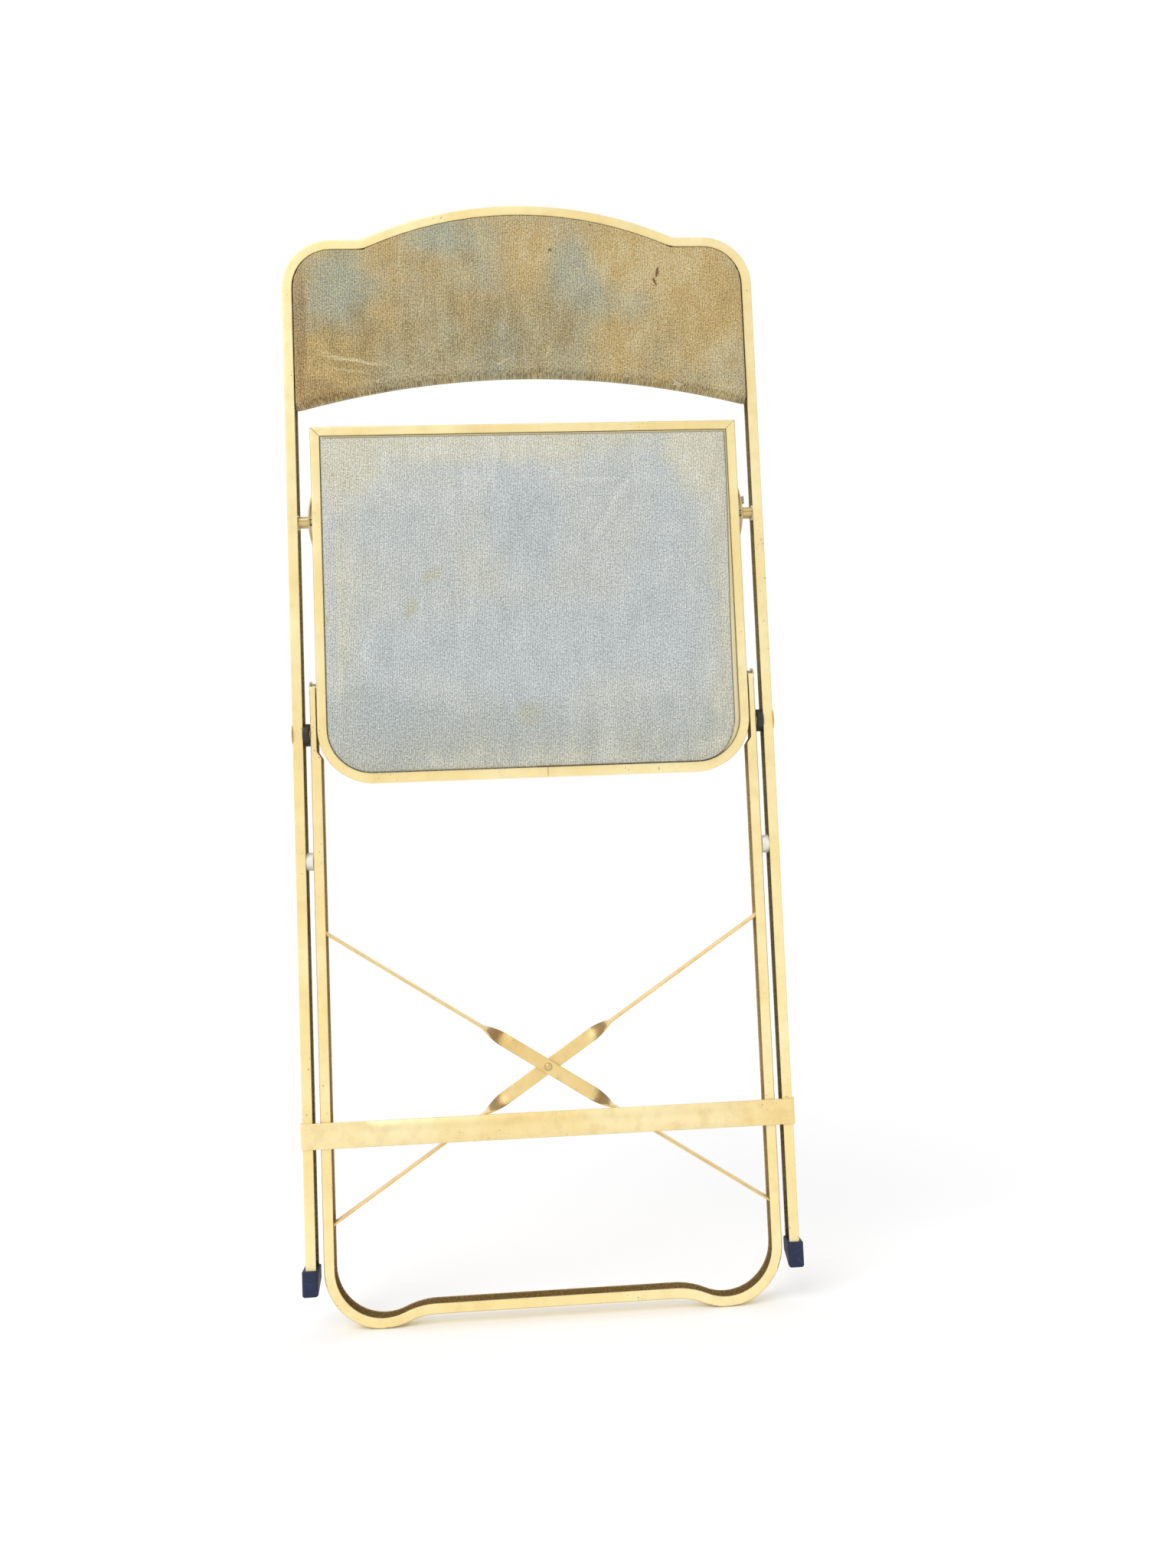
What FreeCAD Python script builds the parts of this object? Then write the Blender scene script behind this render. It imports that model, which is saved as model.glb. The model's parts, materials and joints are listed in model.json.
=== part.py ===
"""Flat-folding upholstered chair of bent steel channel, one STEP file per piece.

The chair is drawn on the bench: folded flat and standing upright, X to the sitter's left-right,
Z along the frame from the front feet to the crown, front face towards -Y, mid-plane at Y = 0.
place() then stands the folded chair upright on Z = 0 with its box centred on the origin. In use the
outer frame leans back by USE_LEAN, and the soles of the front feet are cut to be level then.

Mechanism: the outer frame (front legs and back) and the rear frame cross at one pair of pivots.
The seat hangs from the rear frame's top ends, and pins at its rear ride inside the outer frame's
channels down to a pair of stop rivets. The two links from the crossing to the seat's front pivot
and from there to the rear pin are equal, so the seat turns back exactly as far as the rear frame
turns forward.
"""
import FreeCAD, Part
import math
import os

Vec = FreeCAD.Vector

# ---- driving dimensions, millimetres ----
FRAME_LENGTH = 914.0          # sole to crown, along the outer frame
FRAME_HALF_WIDTH = 203.0
FRAME_DEPTH = 16.0            # channel depth, front to back
FLANGE = 8.5
SHEET = 1.2                   # steel of the channels
BEND = 1.3                    # outer radius where web meets flange

SHOULDER_HEIGHT = 884.5
SHOULDER_RADIUS = 42.0
CROWN_RADIUS = 325.0
NECK_RADIUS = 20.0            # small hollow between shoulder and crown

REAR_HALF_WIDTH = 188.3
REAR_DEPTH = 15.4
REAR_LOBE_BOTTOM = -28.6
REAR_CORNER_RADIUS = 48.0
REAR_BAR_BOTTOM = -19.6
REAR_LOBE_RUN = 42.0          # sideways run from lobe bottom to the raised bar
REAR_FLANGE_END = 498.0
REAR_NARROW_FLANGE = 4.9      # trimmed flange beside the seat
REAR_FLARE = (438.0, 443.5)   # where the trimmed flange widens

SEAT_HALF_WIDTH = 182.6
SEAT_FRONT = 415.8
SEAT_REAR = 720.5
SEAT_CORNER_RADIUS = 46.0
SEAT_FLANGE = 8.0
MITRE_WIDTH = 0.5
GROOVE_DEPTH = 0.5
SEAM_X = 9.0                  # the rim's joint in front, a little right of the middle

CROSSING = 352.0              # crossing pivot, along the outer frame
LINK = 144.0                  # crossing to seat pivot, and seat pivot to rear pin
STOP_HEIGHT = 458.2
STOP_DISC_RADIUS = 9.5
PIN_TUBE_RADIUS = 5.0
STOP_CLEARANCE = 0.4

CROSSBAR_BOTTOM, CROSSBAR_TOP = 117.5, 138.5
CROSSBAR_SHEET = 1.5
CROSSBAR_CROWN = 3.0
CROSSBAR_FLAT = 34.0          # flat length at each end
CROSSBAR_WRAP = 15.0          # how far the ends wrap round the legs

BRACE_CENTRE = 173.5
BRACE_SLOPE = 33.3            # degrees above level
BRACE_WIDTH, BRACE_THICK = 11.0, 1.8
BRACE_FLAT, BRACE_TWIST = 38.0, 26.0   # half of the flat middle, length of each twist
BRACE_TAB = 15.0

CAP_HEIGHT = 21.0
CAP_X = (192.8, 205.8)
CAP_HALF_DEPTH = 10.4
LEG_END = 13.5

BACK_ARCH_RADIUS = 737.0
BACK_ARCH_TOP = 763.4
BACK_PROUD, BACK_REAR = 5.0, 1.6
SEAT_PROUD = 9.0
PAD_GAP = 0.3                 # air round the soft pads

PIVOT_SHANK = 3.5             # radii of the rivets and pins
STOP_SHANK = 4.0
SEAT_SHANK = 3.0
PIN_SHANK = 3.0
BRACE_SHANK = 2.0
RUNNING_GAP = 0.06
SPOOL_RADIUS = 6.5            # what fits between the flanges
PLATE_HALF_LENGTH, PLATE_HALF_WIDTH = 22.0, 5.6
PLATE_BOW, PLATE_SHEET = 2.2, 1.2

WEB_INSIDE = FRAME_HALF_WIDTH - SHEET
FLANGE_TIP = FRAME_HALF_WIDTH - FLANGE
REAR_WEB_INSIDE = REAR_HALF_WIDTH - SHEET
SEAT_WEB_INSIDE = SEAT_HALF_WIDTH - SHEET
SEAT_PIVOT = CROSSING + LINK
REAR_PIN = SEAT_PIVOT + LINK
TUBE_FROM = SEAT_HALF_WIDTH + PLATE_BOW + PLATE_SHEET
TUBE_TO = FLANGE_TIP + 0.3

# The rear pin stops on the disc, which fixes how far the rear frame opens.
PIN_AT_STOP = STOP_HEIGHT - CROSSING + STOP_DISC_RADIUS + PIN_TUBE_RADIUS + STOP_CLEARANCE
OPEN_ANGLE = math.degrees(math.acos(PIN_AT_STOP / (2 * LINK)))

# Lean of the outer frame in use, where the front soles and the rear lobes reach the same floor.
REAR_REACH = CROSSING - REAR_LOBE_BOTTOM
_sin, _cos = math.sin(math.radians(OPEN_ANGLE)), math.cos(math.radians(OPEN_ANGLE))
USE_LEAN = math.degrees(math.atan2(CROSSING - REAR_REACH * _cos - REAR_DEPTH / 2 * _sin,
                                   CAP_HALF_DEPTH + REAR_REACH * _sin - REAR_DEPTH / 2 * _cos))


# ---- shape helpers ----
def line(a, b):
    """Straight edge between two (x, z) points on the mid-plane."""
    return Part.LineSegment(Vec(a[0], 0, a[1]), Vec(b[0], 0, b[1])).toShape()


def arc(centre, radius, start, end):
    """Arc edge on the mid-plane; angles in degrees, 0 along +X and 90 along +Z."""
    points = []
    for angle in (start, (start + end) / 2, end):
        turn = math.radians(angle)
        points.append(Vec(centre[0] + radius * math.cos(turn), 0, centre[1] + radius * math.sin(turn)))
    return Part.Arc(*points).toShape()


def polygon(points):
    """Face of an (x, z) polygon on the mid-plane."""
    corners = [Vec(x, 0, z) for x, z in points]
    return Part.Face(Part.makePolygon(corners + corners[:1]))


def region(edges):
    """Face inside a closed run of edges."""
    return Part.Face(Part.Wire(edges))


def prism(face, front, back):
    """Solid from a mid-plane face, between two Y values."""
    low, high = min(front, back), max(front, back)
    return face.translated(Vec(0, low, 0)).extrude(Vec(0, high - low, 0))


def box(x, y, z):
    """Box from three (low, high) pairs."""
    return Part.makeBox(x[1] - x[0], y[1] - y[0], z[1] - z[0], Vec(x[0], y[0], z[0]))


def bar(radius, x_from, x_to, z):
    """Round bar along X on the mid-plane."""
    return Part.makeCylinder(radius, x_to - x_from, Vec(x_from, 0, z), Vec(1, 0, 0))


def dome(radius, height, x, z):
    """Low domed rivet head standing on the plane X = x, towards +X."""
    ball = (radius ** 2 + height ** 2) / (2 * height)
    sphere = Part.makeSphere(ball, Vec(x + height - ball, 0, z))
    return sphere.common(bar(radius, x, x + height, z))


def mirrored(shape):
    """The same shape on the other side of the chair."""
    return shape.mirror(Vec(0, 0, 0), Vec(1, 0, 0))


def rounded_prism(face, depth, radius, low, high):
    """Prism with rounded long edges between two heights; its closing edge stays sharp."""
    solid = prism(face, -depth / 2, depth / 2)
    edges = []
    for edge in solid.Edges:
        ys = [vertex.Y for vertex in edge.Vertexes]
        zs = [vertex.Z for vertex in edge.Vertexes]
        flat = abs(ys[0] - ys[-1]) < 1e-6 and abs(abs(ys[0]) - depth / 2) < 1e-6
        if flat and not (max(zs) < low or min(zs) > high):
            edges.append(edge)
    return solid.makeFillet(radius, edges)


def channel(outline, depth, flange, low, high):
    """Bent channel that opens inwards: outline(inset) gives its edges at any inset."""
    solid = rounded_prism(region(outline(0)), depth, BEND, low, high)
    slot = prism(region(outline(SHEET)), -depth / 2 + SHEET, depth / 2 - SHEET)
    middle = prism(region(outline(flange)), -depth, depth)
    return solid.cut(slot).cut(middle)


# ---- outlines on the mid-plane, each at any inset ----
def outer_outline(inset):
    """Outer frame: an arch with square shoulders and a low crown, closed below the feet."""
    half, foot = FRAME_HALF_WIDTH - inset, -60.0
    shoulder = SHOULDER_HEIGHT - inset
    corner = (FRAME_HALF_WIDTH - SHOULDER_RADIUS, SHOULDER_HEIGHT - SHOULDER_RADIUS)
    crown_z = FRAME_LENGTH - CROWN_RADIUS
    neck_rise = SHOULDER_HEIGHT + NECK_RADIUS - crown_z
    neck_x = math.sqrt((CROWN_RADIUS + NECK_RADIUS) ** 2 - neck_rise ** 2)
    slope = math.degrees(math.atan2(neck_rise, neck_x))
    neck = (neck_x, SHOULDER_HEIGHT + NECK_RADIUS)
    round_r, crown_r, neck_r = SHOULDER_RADIUS - inset, CROWN_RADIUS - inset, NECK_RADIUS + inset
    return [
        line((half, foot), (half, corner[1])),
        arc(corner, round_r, 0, 90),
        line((corner[0], shoulder), (neck_x, shoulder)),
        arc(neck, neck_r, 270, 180 + slope),
        arc((0, crown_z), crown_r, slope, 180 - slope),
        arc((-neck[0], neck[1]), neck_r, -slope, -90),
        line((-neck_x, shoulder), (-corner[0], shoulder)),
        arc((-corner[0], corner[1]), round_r, 90, 180),
        line((-half, corner[1]), (-half, foot)),
        line((-half, foot), (half, foot)),
    ]


def rear_outline(inset):
    """Rear frame: legs, round corners with hanging lobes and a raised bar between them."""
    half, top = REAR_HALF_WIDTH - inset, 560.0
    corner = (REAR_HALF_WIDTH - REAR_CORNER_RADIUS, REAR_LOBE_BOTTOM + REAR_CORNER_RADIUS)
    rise = REAR_BAR_BOTTOM - REAR_LOBE_BOTTOM
    tilt = 2 * math.degrees(math.atan2(rise, REAR_LOBE_RUN))
    hollow = REAR_LOBE_RUN / math.sin(math.radians(tilt)) - REAR_CORNER_RADIUS
    bend = (corner[0] - REAR_LOBE_RUN, REAR_BAR_BOTTOM - hollow)
    round_r, bend_r, bar_z = REAR_CORNER_RADIUS - inset, hollow + inset, REAR_BAR_BOTTOM + inset
    return [
        line((-half, top), (-half, corner[1])),
        arc((-corner[0], corner[1]), round_r, 180, 270 + tilt),
        arc((-bend[0], bend[1]), bend_r, 90 + tilt, 90),
        line((-bend[0], bar_z), (bend[0], bar_z)),
        arc(bend, bend_r, 90, 90 - tilt),
        arc(corner, round_r, 270 - tilt, 360),
        line((half, corner[1]), (half, top)),
        line((half, top), (-half, top)),
    ]


def seat_outline(inset):
    """Seat: square mitred rear corners and round front corners."""
    half, front, rear = SEAT_HALF_WIDTH - inset, SEAT_FRONT + inset, SEAT_REAR - inset
    corner = (SEAT_HALF_WIDTH - SEAT_CORNER_RADIUS, SEAT_FRONT + SEAT_CORNER_RADIUS)
    radius = SEAT_CORNER_RADIUS - inset
    return [
        line((half, rear), (-half, rear)),
        line((-half, rear), (-half, corner[1])),
        arc((-corner[0], corner[1]), radius, 180, 270),
        line((-corner[0], front), (corner[0], front)),
        arc(corner, radius, 270, 360),
        line((half, corner[1]), (half, rear)),
    ]


def above_arch(face_edges, raise_by=0.0):
    """Part of a region above the arched lower edge of the back."""
    wide, low = FRAME_HALF_WIDTH + 20, -100.0
    centre_z = BACK_ARCH_TOP - BACK_ARCH_RADIUS
    radius = BACK_ARCH_RADIUS + raise_by
    angle = math.degrees(math.acos(wide / radius))
    end_z = centre_z + radius * math.sin(math.radians(angle))
    cutter = region([arc((0, centre_z), radius, angle, 180 - angle), line((-wide, end_z), (-wide, low)),
                     line((-wide, low), (wide, low)), line((wide, low), (wide, end_z))])
    return region(face_edges).cut(cutter).Faces[0]


# ---- outer frame ----
def outer_channel():
    """One bent channel: both front legs, the back's sides, shoulders and crown."""
    shape = channel(outer_outline, FRAME_DEPTH, FLANGE, 0, FRAME_LENGTH)
    shape = shape.cut(box((-300, 300), (-30, 30), (-100, LEG_END)))
    for z, radius in ((CROSSING, PIVOT_SHANK), (STOP_HEIGHT, STOP_SHANK)):
        shape = shape.cut(bar(radius, -300, 300, z))
    return shape


def front_crossbar():
    """Pressed strip across both frames, crowned between its flat ends, which wrap the legs."""
    back = -FRAME_DEPTH / 2
    reach = FRAME_HALF_WIDTH - BEND
    flat_end = FRAME_HALF_WIDTH - CROSSBAR_FLAT

    def section(x, crown):
        """Closed strip section at x, bowed forward by crown."""
        middle = (CROSSBAR_BOTTOM + CROSSBAR_TOP) / 2
        front = back - CROSSBAR_SHEET
        a, b = Vec(x, back, CROSSBAR_BOTTOM), Vec(x, back - crown, middle)
        c, d = Vec(x, back, CROSSBAR_TOP), Vec(x, front, CROSSBAR_TOP)
        e, f = Vec(x, front - crown, middle), Vec(x, front, CROSSBAR_BOTTOM)
        edges = [Part.Arc(a, b, c).toShape(), Part.LineSegment(c, d).toShape(),
                 Part.Arc(d, e, f).toShape(), Part.LineSegment(f, a).toShape()]
        return Part.Wire(edges)

    stations = [(-reach, 0.05), (-flat_end, 0.05), (-flat_end + 26, CROSSBAR_CROWN),
                (flat_end - 26, CROSSBAR_CROWN), (flat_end, 0.05), (reach, 0.05)]
    strip = Part.makeLoft([section(x, crown) for x, crown in stations], True, True)

    outside, inside = BEND + CROSSBAR_SHEET, BEND
    height = CROSSBAR_TOP - CROSSBAR_BOTTOM
    centre = Vec(reach, back + BEND, CROSSBAR_BOTTOM)
    corner = Part.makeCylinder(outside, height, centre, Vec(0, 0, 1), 90)
    corner = corner.cut(Part.makeCylinder(inside, height, centre, Vec(0, 0, 1), 90))
    corner.rotate(centre, Vec(0, 0, 1), -90)
    tab = box((FRAME_HALF_WIDTH, FRAME_HALF_WIDTH + CROSSBAR_SHEET),
              (back + BEND, back + CROSSBAR_WRAP), (CROSSBAR_BOTTOM, CROSSBAR_TOP))
    tab = tab.makeFillet(4.0, [edge for edge in tab.Edges
                               if abs(edge.BoundBox.YMin - (back + CROSSBAR_WRAP)) < 1e-6
                               and edge.BoundBox.XLength > 1])
    end = corner.fuse(tab)
    return strip.fuse([end, mirrored(end)]).removeSplitter()


def foot_cap(leg):
    """Moulded cap over the end of the right leg, its sole level when the chair is in use."""
    block = box(CAP_X, (-CAP_HALF_DEPTH, CAP_HALF_DEPTH), (-5, CAP_HEIGHT))
    block = block.makeFillet(2.6, [edge for edge in block.Edges if edge.BoundBox.ZLength > 5])
    slope = math.tan(math.radians(USE_LEAN))
    below = 2 * CAP_HALF_DEPTH * slope
    wedge = Part.Face(Part.makePolygon([Vec(150, -CAP_HALF_DEPTH, 0), Vec(150, CAP_HALF_DEPTH, below),
                                        Vec(150, CAP_HALF_DEPTH, -30), Vec(150, -CAP_HALF_DEPTH, -30),
                                        Vec(150, -CAP_HALF_DEPTH, 0)])).extrude(Vec(100, 0, 0))
    cap = block.cut(wedge)
    sole = [edge for edge in cap.Edges if edge.BoundBox.ZMax < below + 0.1]
    rim = [edge for edge in cap.Edges if edge.BoundBox.ZMin > CAP_HEIGHT - 0.1]
    cap = cap.makeFillet(0.9, sole + rim)
    return cap.cut(leg)


def back_board():
    """Hardboard panel held in the channel behind the back's padding."""
    face = above_arch(outer_outline(2.2), 5.0)
    return prism(face, 2.6, 5.6)


def back_pad(board):
    """Back padding and its cover, wrapped round the board and tucked into the channel."""
    inner = FRAME_DEPTH / 2 - SHEET - PAD_GAP
    tucked = prism(above_arch(outer_outline(SHEET + PAD_GAP)), -inner, inner)
    proud = prism(above_arch(outer_outline(FLANGE + PAD_GAP)),
                  -FRAME_DEPTH / 2 - BACK_PROUD, FRAME_DEPTH / 2 + BACK_REAR)
    return tucked.fuse(proud).cut(board).removeSplitter()


# ---- rivets, spacers and stops, all made on the right ----

def crossing_rivet():
    """Shouldered rivet through both webs, its low head outside the outer frame."""
    head = dome(6.0, 0.7, FRAME_HALF_WIDTH, CROSSING)
    shank = bar(PIVOT_SHANK, REAR_WEB_INSIDE - 1.7, FRAME_HALF_WIDTH, CROSSING)
    tail = bar(5.8, REAR_WEB_INSIDE - 1.7, REAR_WEB_INSIDE - 0.3, CROSSING)
    return head.fuse([shank, tail]).removeSplitter()


def crossing_spacer():
    """White nylon spool that keeps the two frames apart."""
    spool = bar(SPOOL_RADIUS, FLANGE_TIP, WEB_INSIDE, CROSSING)
    collar = bar(7.5, REAR_HALF_WIDTH + 0.3, FLANGE_TIP, CROSSING)
    bore = bar(PIVOT_SHANK, REAR_HALF_WIDTH, FRAME_HALF_WIDTH, CROSSING)
    return spool.fuse(collar).cut(bore).removeSplitter()


def stop_rivet():
    """Large-headed rivet that holds the seat's stop."""
    head = dome(10.75, 2.2, FRAME_HALF_WIDTH, STOP_HEIGHT)
    shank = bar(STOP_SHANK, REAR_HALF_WIDTH + 1.1, FRAME_HALF_WIDTH, STOP_HEIGHT)
    return head.fuse(shank).removeSplitter()


def stop_sleeve():
    """Dark stop on the rivet: a spool in the channel and a disc that catches the seat's pin."""
    spool = bar(SPOOL_RADIUS, FLANGE_TIP, WEB_INSIDE, STOP_HEIGHT)
    disc = bar(STOP_DISC_RADIUS, REAR_HALF_WIDTH + 1.5, FLANGE_TIP, STOP_HEIGHT)
    bore = bar(STOP_SHANK, REAR_HALF_WIDTH, FRAME_HALF_WIDTH, STOP_HEIGHT)
    return spool.fuse(disc).cut(bore).removeSplitter()


# ---- rear frame ----
def rear_channel():
    """One bent channel: both rear legs and the floor bar with its two lobes."""
    shape = channel(rear_outline, REAR_DEPTH, FLANGE, REAR_LOBE_BOTTOM, 520)
    narrow, wide = REAR_HALF_WIDTH - REAR_NARROW_FLANGE, REAR_HALF_WIDTH - FLANGE
    low, high = REAR_FLARE
    trim = polygon([(-narrow, 600), (-narrow, high), (-wide, low), (wide, low), (narrow, high), (narrow, 600)])
    shape = shape.cut(prism(trim, -30, 30))
    shape = shape.cut(box((-300, 300), (-30, 30), (REAR_FLANGE_END, 700)))
    ear = bar(REAR_DEPTH / 2, REAR_WEB_INSIDE, REAR_HALF_WIDTH, SEAT_PIVOT)
    shape = shape.fuse([ear, mirrored(ear)]).removeSplitter()
    shape = shape.cut(bar(PIVOT_SHANK + RUNNING_GAP, -300, 300, CROSSING))
    shape = shape.cut(bar(SEAT_SHANK, -300, 300, SEAT_PIVOT))
    for z in brace_ends():
        shape = shape.cut(bar(BRACE_SHANK, -300, 300, z))
    return shape


def brace_ends():
    """Heights of the brace's rivets on the rear legs, upper then lower."""
    rise = REAR_WEB_INSIDE * math.tan(math.radians(BRACE_SLOPE)) + BRACE_TAB * 0.45
    return BRACE_CENTRE + rise, BRACE_CENTRE - rise


def brace_strap(front):
    """Flat strap, turned on edge by a quarter twist in each arm, with a tab on each leg."""
    side = -1 if front else 1
    half = (REAR_WEB_INSIDE - BRACE_THICK * 1.2) / math.cos(math.radians(BRACE_SLOPE))
    stations = [(-half, 90), (-BRACE_FLAT - BRACE_TWIST, 90)]
    steps = 6
    for i in range(1, steps + 1):
        stations.append((-BRACE_FLAT - BRACE_TWIST * (1 - i / steps), 90 * (1 - i / steps)))
    stations += [(-u, twist) for u, twist in reversed(stations)]

    def section(u, twist):
        """Strap section at u along the strap, turned by twist degrees."""
        lift = side * BRACE_THICK / 2 * (1 - twist / 90)
        turn = math.radians(twist)
        corners = []
        for across, through in ((-1, -1), (1, -1), (1, 1), (-1, 1)):
            w, t = across * BRACE_WIDTH / 2, through * BRACE_THICK / 2
            corners.append(Vec(u, lift + w * math.sin(turn) + t * math.cos(turn),
                               w * math.cos(turn) - t * math.sin(turn)))
        return Part.makePolygon(corners + corners[:1])

    strap = Part.makeLoft([section(u, twist) for u, twist in stations], True, True)
    tab = box((REAR_WEB_INSIDE - BRACE_THICK, REAR_WEB_INSIDE), (-BRACE_WIDTH / 2, BRACE_WIDTH / 2),
              (0, BRACE_TAB + 3))
    slope = -BRACE_SLOPE if front else BRACE_SLOPE
    strap.rotate(Vec(0, 0, 0), Vec(0, 1, 0), -slope)
    strap.translate(Vec(0, 0, BRACE_CENTRE))
    upper, lower = brace_ends()
    high_tab = tab.translated(Vec(0, 0, upper - BRACE_TAB * 0.6))
    low_tab = mirrored(tab).translated(Vec(0, 0, lower - BRACE_TAB * 0.6))
    if front:
        high_tab, low_tab = mirrored(high_tab), mirrored(low_tab)
    strap = strap.fuse([high_tab, low_tab]).removeSplitter()
    strap = strap.common(box((-REAR_WEB_INSIDE, REAR_WEB_INSIDE), (-20, 20), (-50, 400)))
    for z in (upper, lower):
        strap = strap.cut(bar(BRACE_SHANK, -300, 300, z))
    return strap.cut(cross_bar_y(BRACE_SHANK))


def cross_bar_y(radius):
    """Round bar along Y through the middle of the brace."""
    return Part.makeCylinder(radius, 40, Vec(0, -20, BRACE_CENTRE), Vec(0, 1, 0))


def brace_centre_rivet():
    """Rivet where the straps cross, domed at the front and flat at the back."""
    face = BRACE_THICK
    head = dome(3.3, 1.4, face, 0).fuse(bar(BRACE_SHANK, -face, face, 0))
    tail = bar(3.0, -face - 1.0, -face, 0)
    rivet = head.fuse(tail).removeSplitter()
    rivet.rotate(Vec(0, 0, 0), Vec(0, 0, 1), -90)
    return rivet.translated(Vec(0, 0, BRACE_CENTRE))


def brace_end_rivets():
    """The four rivets that hold the straps on the rear legs."""
    rivets = []
    for z in brace_ends():
        head = dome(3.6, 0.9, REAR_HALF_WIDTH, z)
        shank = bar(BRACE_SHANK, REAR_WEB_INSIDE - BRACE_THICK, REAR_HALF_WIDTH, z)
        tail = bar(3.2, REAR_WEB_INSIDE - BRACE_THICK - 1.1, REAR_WEB_INSIDE - BRACE_THICK, z)
        rivet = head.fuse([shank, tail]).removeSplitter()
        rivets += [rivet, mirrored(rivet)]
    return Part.makeCompound(rivets)


def seat_pivot_rivet():
    """Rivet from the rear frame's top end into the seat's side."""
    head = dome(5.2, 1.0, REAR_HALF_WIDTH, SEAT_PIVOT)
    shank = bar(SEAT_SHANK, SEAT_WEB_INSIDE - 1.7, REAR_HALF_WIDTH, SEAT_PIVOT)
    tail = bar(4.6, SEAT_WEB_INSIDE - 1.7, SEAT_WEB_INSIDE - 0.3, SEAT_PIVOT)
    return head.fuse([shank, tail]).removeSplitter()


def seat_pivot_spacer():
    """Steel spacer between the rear frame's top end and the seat."""
    ring = bar(5.6, SEAT_HALF_WIDTH + 0.4, REAR_WEB_INSIDE, SEAT_PIVOT)
    return ring.cut(bar(SEAT_SHANK, SEAT_HALF_WIDTH, REAR_HALF_WIDTH, SEAT_PIVOT))


# ---- seat ----
def seat_rim():
    """Channel round the seat: mitred at the rear corners, its joint at the front centre."""
    solid = rounded_prism(region(seat_outline(0)), FRAME_DEPTH, BEND, SEAT_FRONT, SEAT_REAR)
    slot = prism(region(seat_outline(SHEET)), -FRAME_DEPTH / 2 + SHEET, FRAME_DEPTH / 2 - SHEET)
    middle = prism(region(seat_outline(SEAT_FLANGE)), -30, 30)
    shape = solid.cut(slot).cut(middle)
    half, face = MITRE_WIDTH / 2, (-FRAME_DEPTH / 2 - 1, -FRAME_DEPTH / 2 + GROOVE_DEPTH)
    reach = SEAT_FLANGE * math.sqrt(2) + 4
    for side in (-1, 1):
        groove = box((-1, reach), face, (-half, half))
        groove.rotate(Vec(0, 0, 0), Vec(0, 1, 0), 135 if side > 0 else 45)
        shape = shape.cut(groove.translated(Vec(side * SEAT_HALF_WIDTH, 0, SEAT_REAR)))
    seam = box((SEAM_X - half, SEAM_X + half), face, (SEAT_FRONT - 1, SEAT_FRONT + SEAT_FLANGE + 1))
    shape = shape.cut(seam)
    shape = shape.cut(bar(SEAT_SHANK + RUNNING_GAP, -300, 300, SEAT_PIVOT))
    return shape.cut(bar(PIN_SHANK, -300, 300, REAR_PIN))


def notched(shape):
    """Seat filling with room for the heads inside the rim at the pivots and pins."""
    for z, radius in ((SEAT_PIVOT, 5.2), (REAR_PIN, 5.6)):
        notch = bar(radius, SEAT_WEB_INSIDE - 2.4, SEAT_HALF_WIDTH, z)
        shape = shape.cut(notch).cut(mirrored(notch))
    return shape


def seat_board():
    """Plywood panel that carries the seat's padding."""
    return notched(prism(region(seat_outline(SHEET + 0.4)), 1.6, FRAME_DEPTH / 2 - SHEET - 0.1))


def seat_pad():
    """Seat padding and its cover, tucked into the rim and crowned above it."""
    tucked = prism(region(seat_outline(SHEET + 0.4)), -FRAME_DEPTH / 2 + SHEET + PAD_GAP, 1.4)
    crown = prism(region(seat_outline(SEAT_FLANGE + PAD_GAP)), -FRAME_DEPTH / 2 - SEAT_PROUD, 0)
    top = [edge for edge in crown.Edges if edge.BoundBox.YMax < -FRAME_DEPTH / 2 - SEAT_PROUD + 0.1]
    crown = crown.makeChamfer(5.0, top)
    return notched(tucked.fuse(crown).removeSplitter())


def pin_plate():
    """Bowed strap on the seat's side that stiffens it round the rear pin."""
    base, mid = SEAT_HALF_WIDTH, REAR_PIN

    def bow(half, rise):
        """Arc edge that rises from the seat's side over the pin."""
        return Part.Arc(Vec(base, 0, mid - half), Vec(base + rise, 0, mid), Vec(base, 0, mid + half)).toShape()

    outer, inner = bow(PLATE_HALF_LENGTH, PLATE_BOW + PLATE_SHEET), bow(PLATE_HALF_LENGTH - 4, PLATE_BOW)
    sides = [line((base, mid + sign * (PLATE_HALF_LENGTH - 4)), (base, mid + sign * PLATE_HALF_LENGTH))
             for sign in (-1, 1)]
    strap = prism(region([outer, sides[1], inner, sides[0]]), -PLATE_HALF_WIDTH, PLATE_HALF_WIDTH)
    return strap.cut(bar(PIN_SHANK, base - 5, base + 20, mid))


def seat_pin():
    """Headed pin from the seat's side into the outer frame's channel."""
    shank = bar(PIN_SHANK, SEAT_WEB_INSIDE - 1.6, WEB_INSIDE - 0.6, REAR_PIN)
    head = bar(5.0, SEAT_WEB_INSIDE - 1.6, SEAT_WEB_INSIDE, REAR_PIN)
    return shank.fuse(head).removeSplitter()


def pin_tube():
    """Rolled spacer tube on the pin, with the open seam that rolling leaves."""
    tube = bar(PIN_TUBE_RADIUS, TUBE_FROM, TUBE_TO, REAR_PIN)
    tube = tube.cut(bar(PIN_SHANK, TUBE_FROM - 1, TUBE_TO + 1, REAR_PIN))
    seam = box((TUBE_FROM - 1, TUBE_TO + 1), (-PIN_TUBE_RADIUS - 1, -PIN_TUBE_RADIUS + 0.7), (-0.25, 0.25))
    return tube.cut(seam.translated(Vec(0, 0, REAR_PIN)))


def guide_bush():
    """Nylon bush on the pin's end, which slides between the channel's flanges."""
    bush = bar(FRAME_DEPTH / 2 - SHEET - 0.4, TUBE_TO, WEB_INSIDE - 0.8, REAR_PIN)
    return bush.cut(bar(PIN_SHANK, TUBE_TO - 1, WEB_INSIDE, REAR_PIN))


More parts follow.
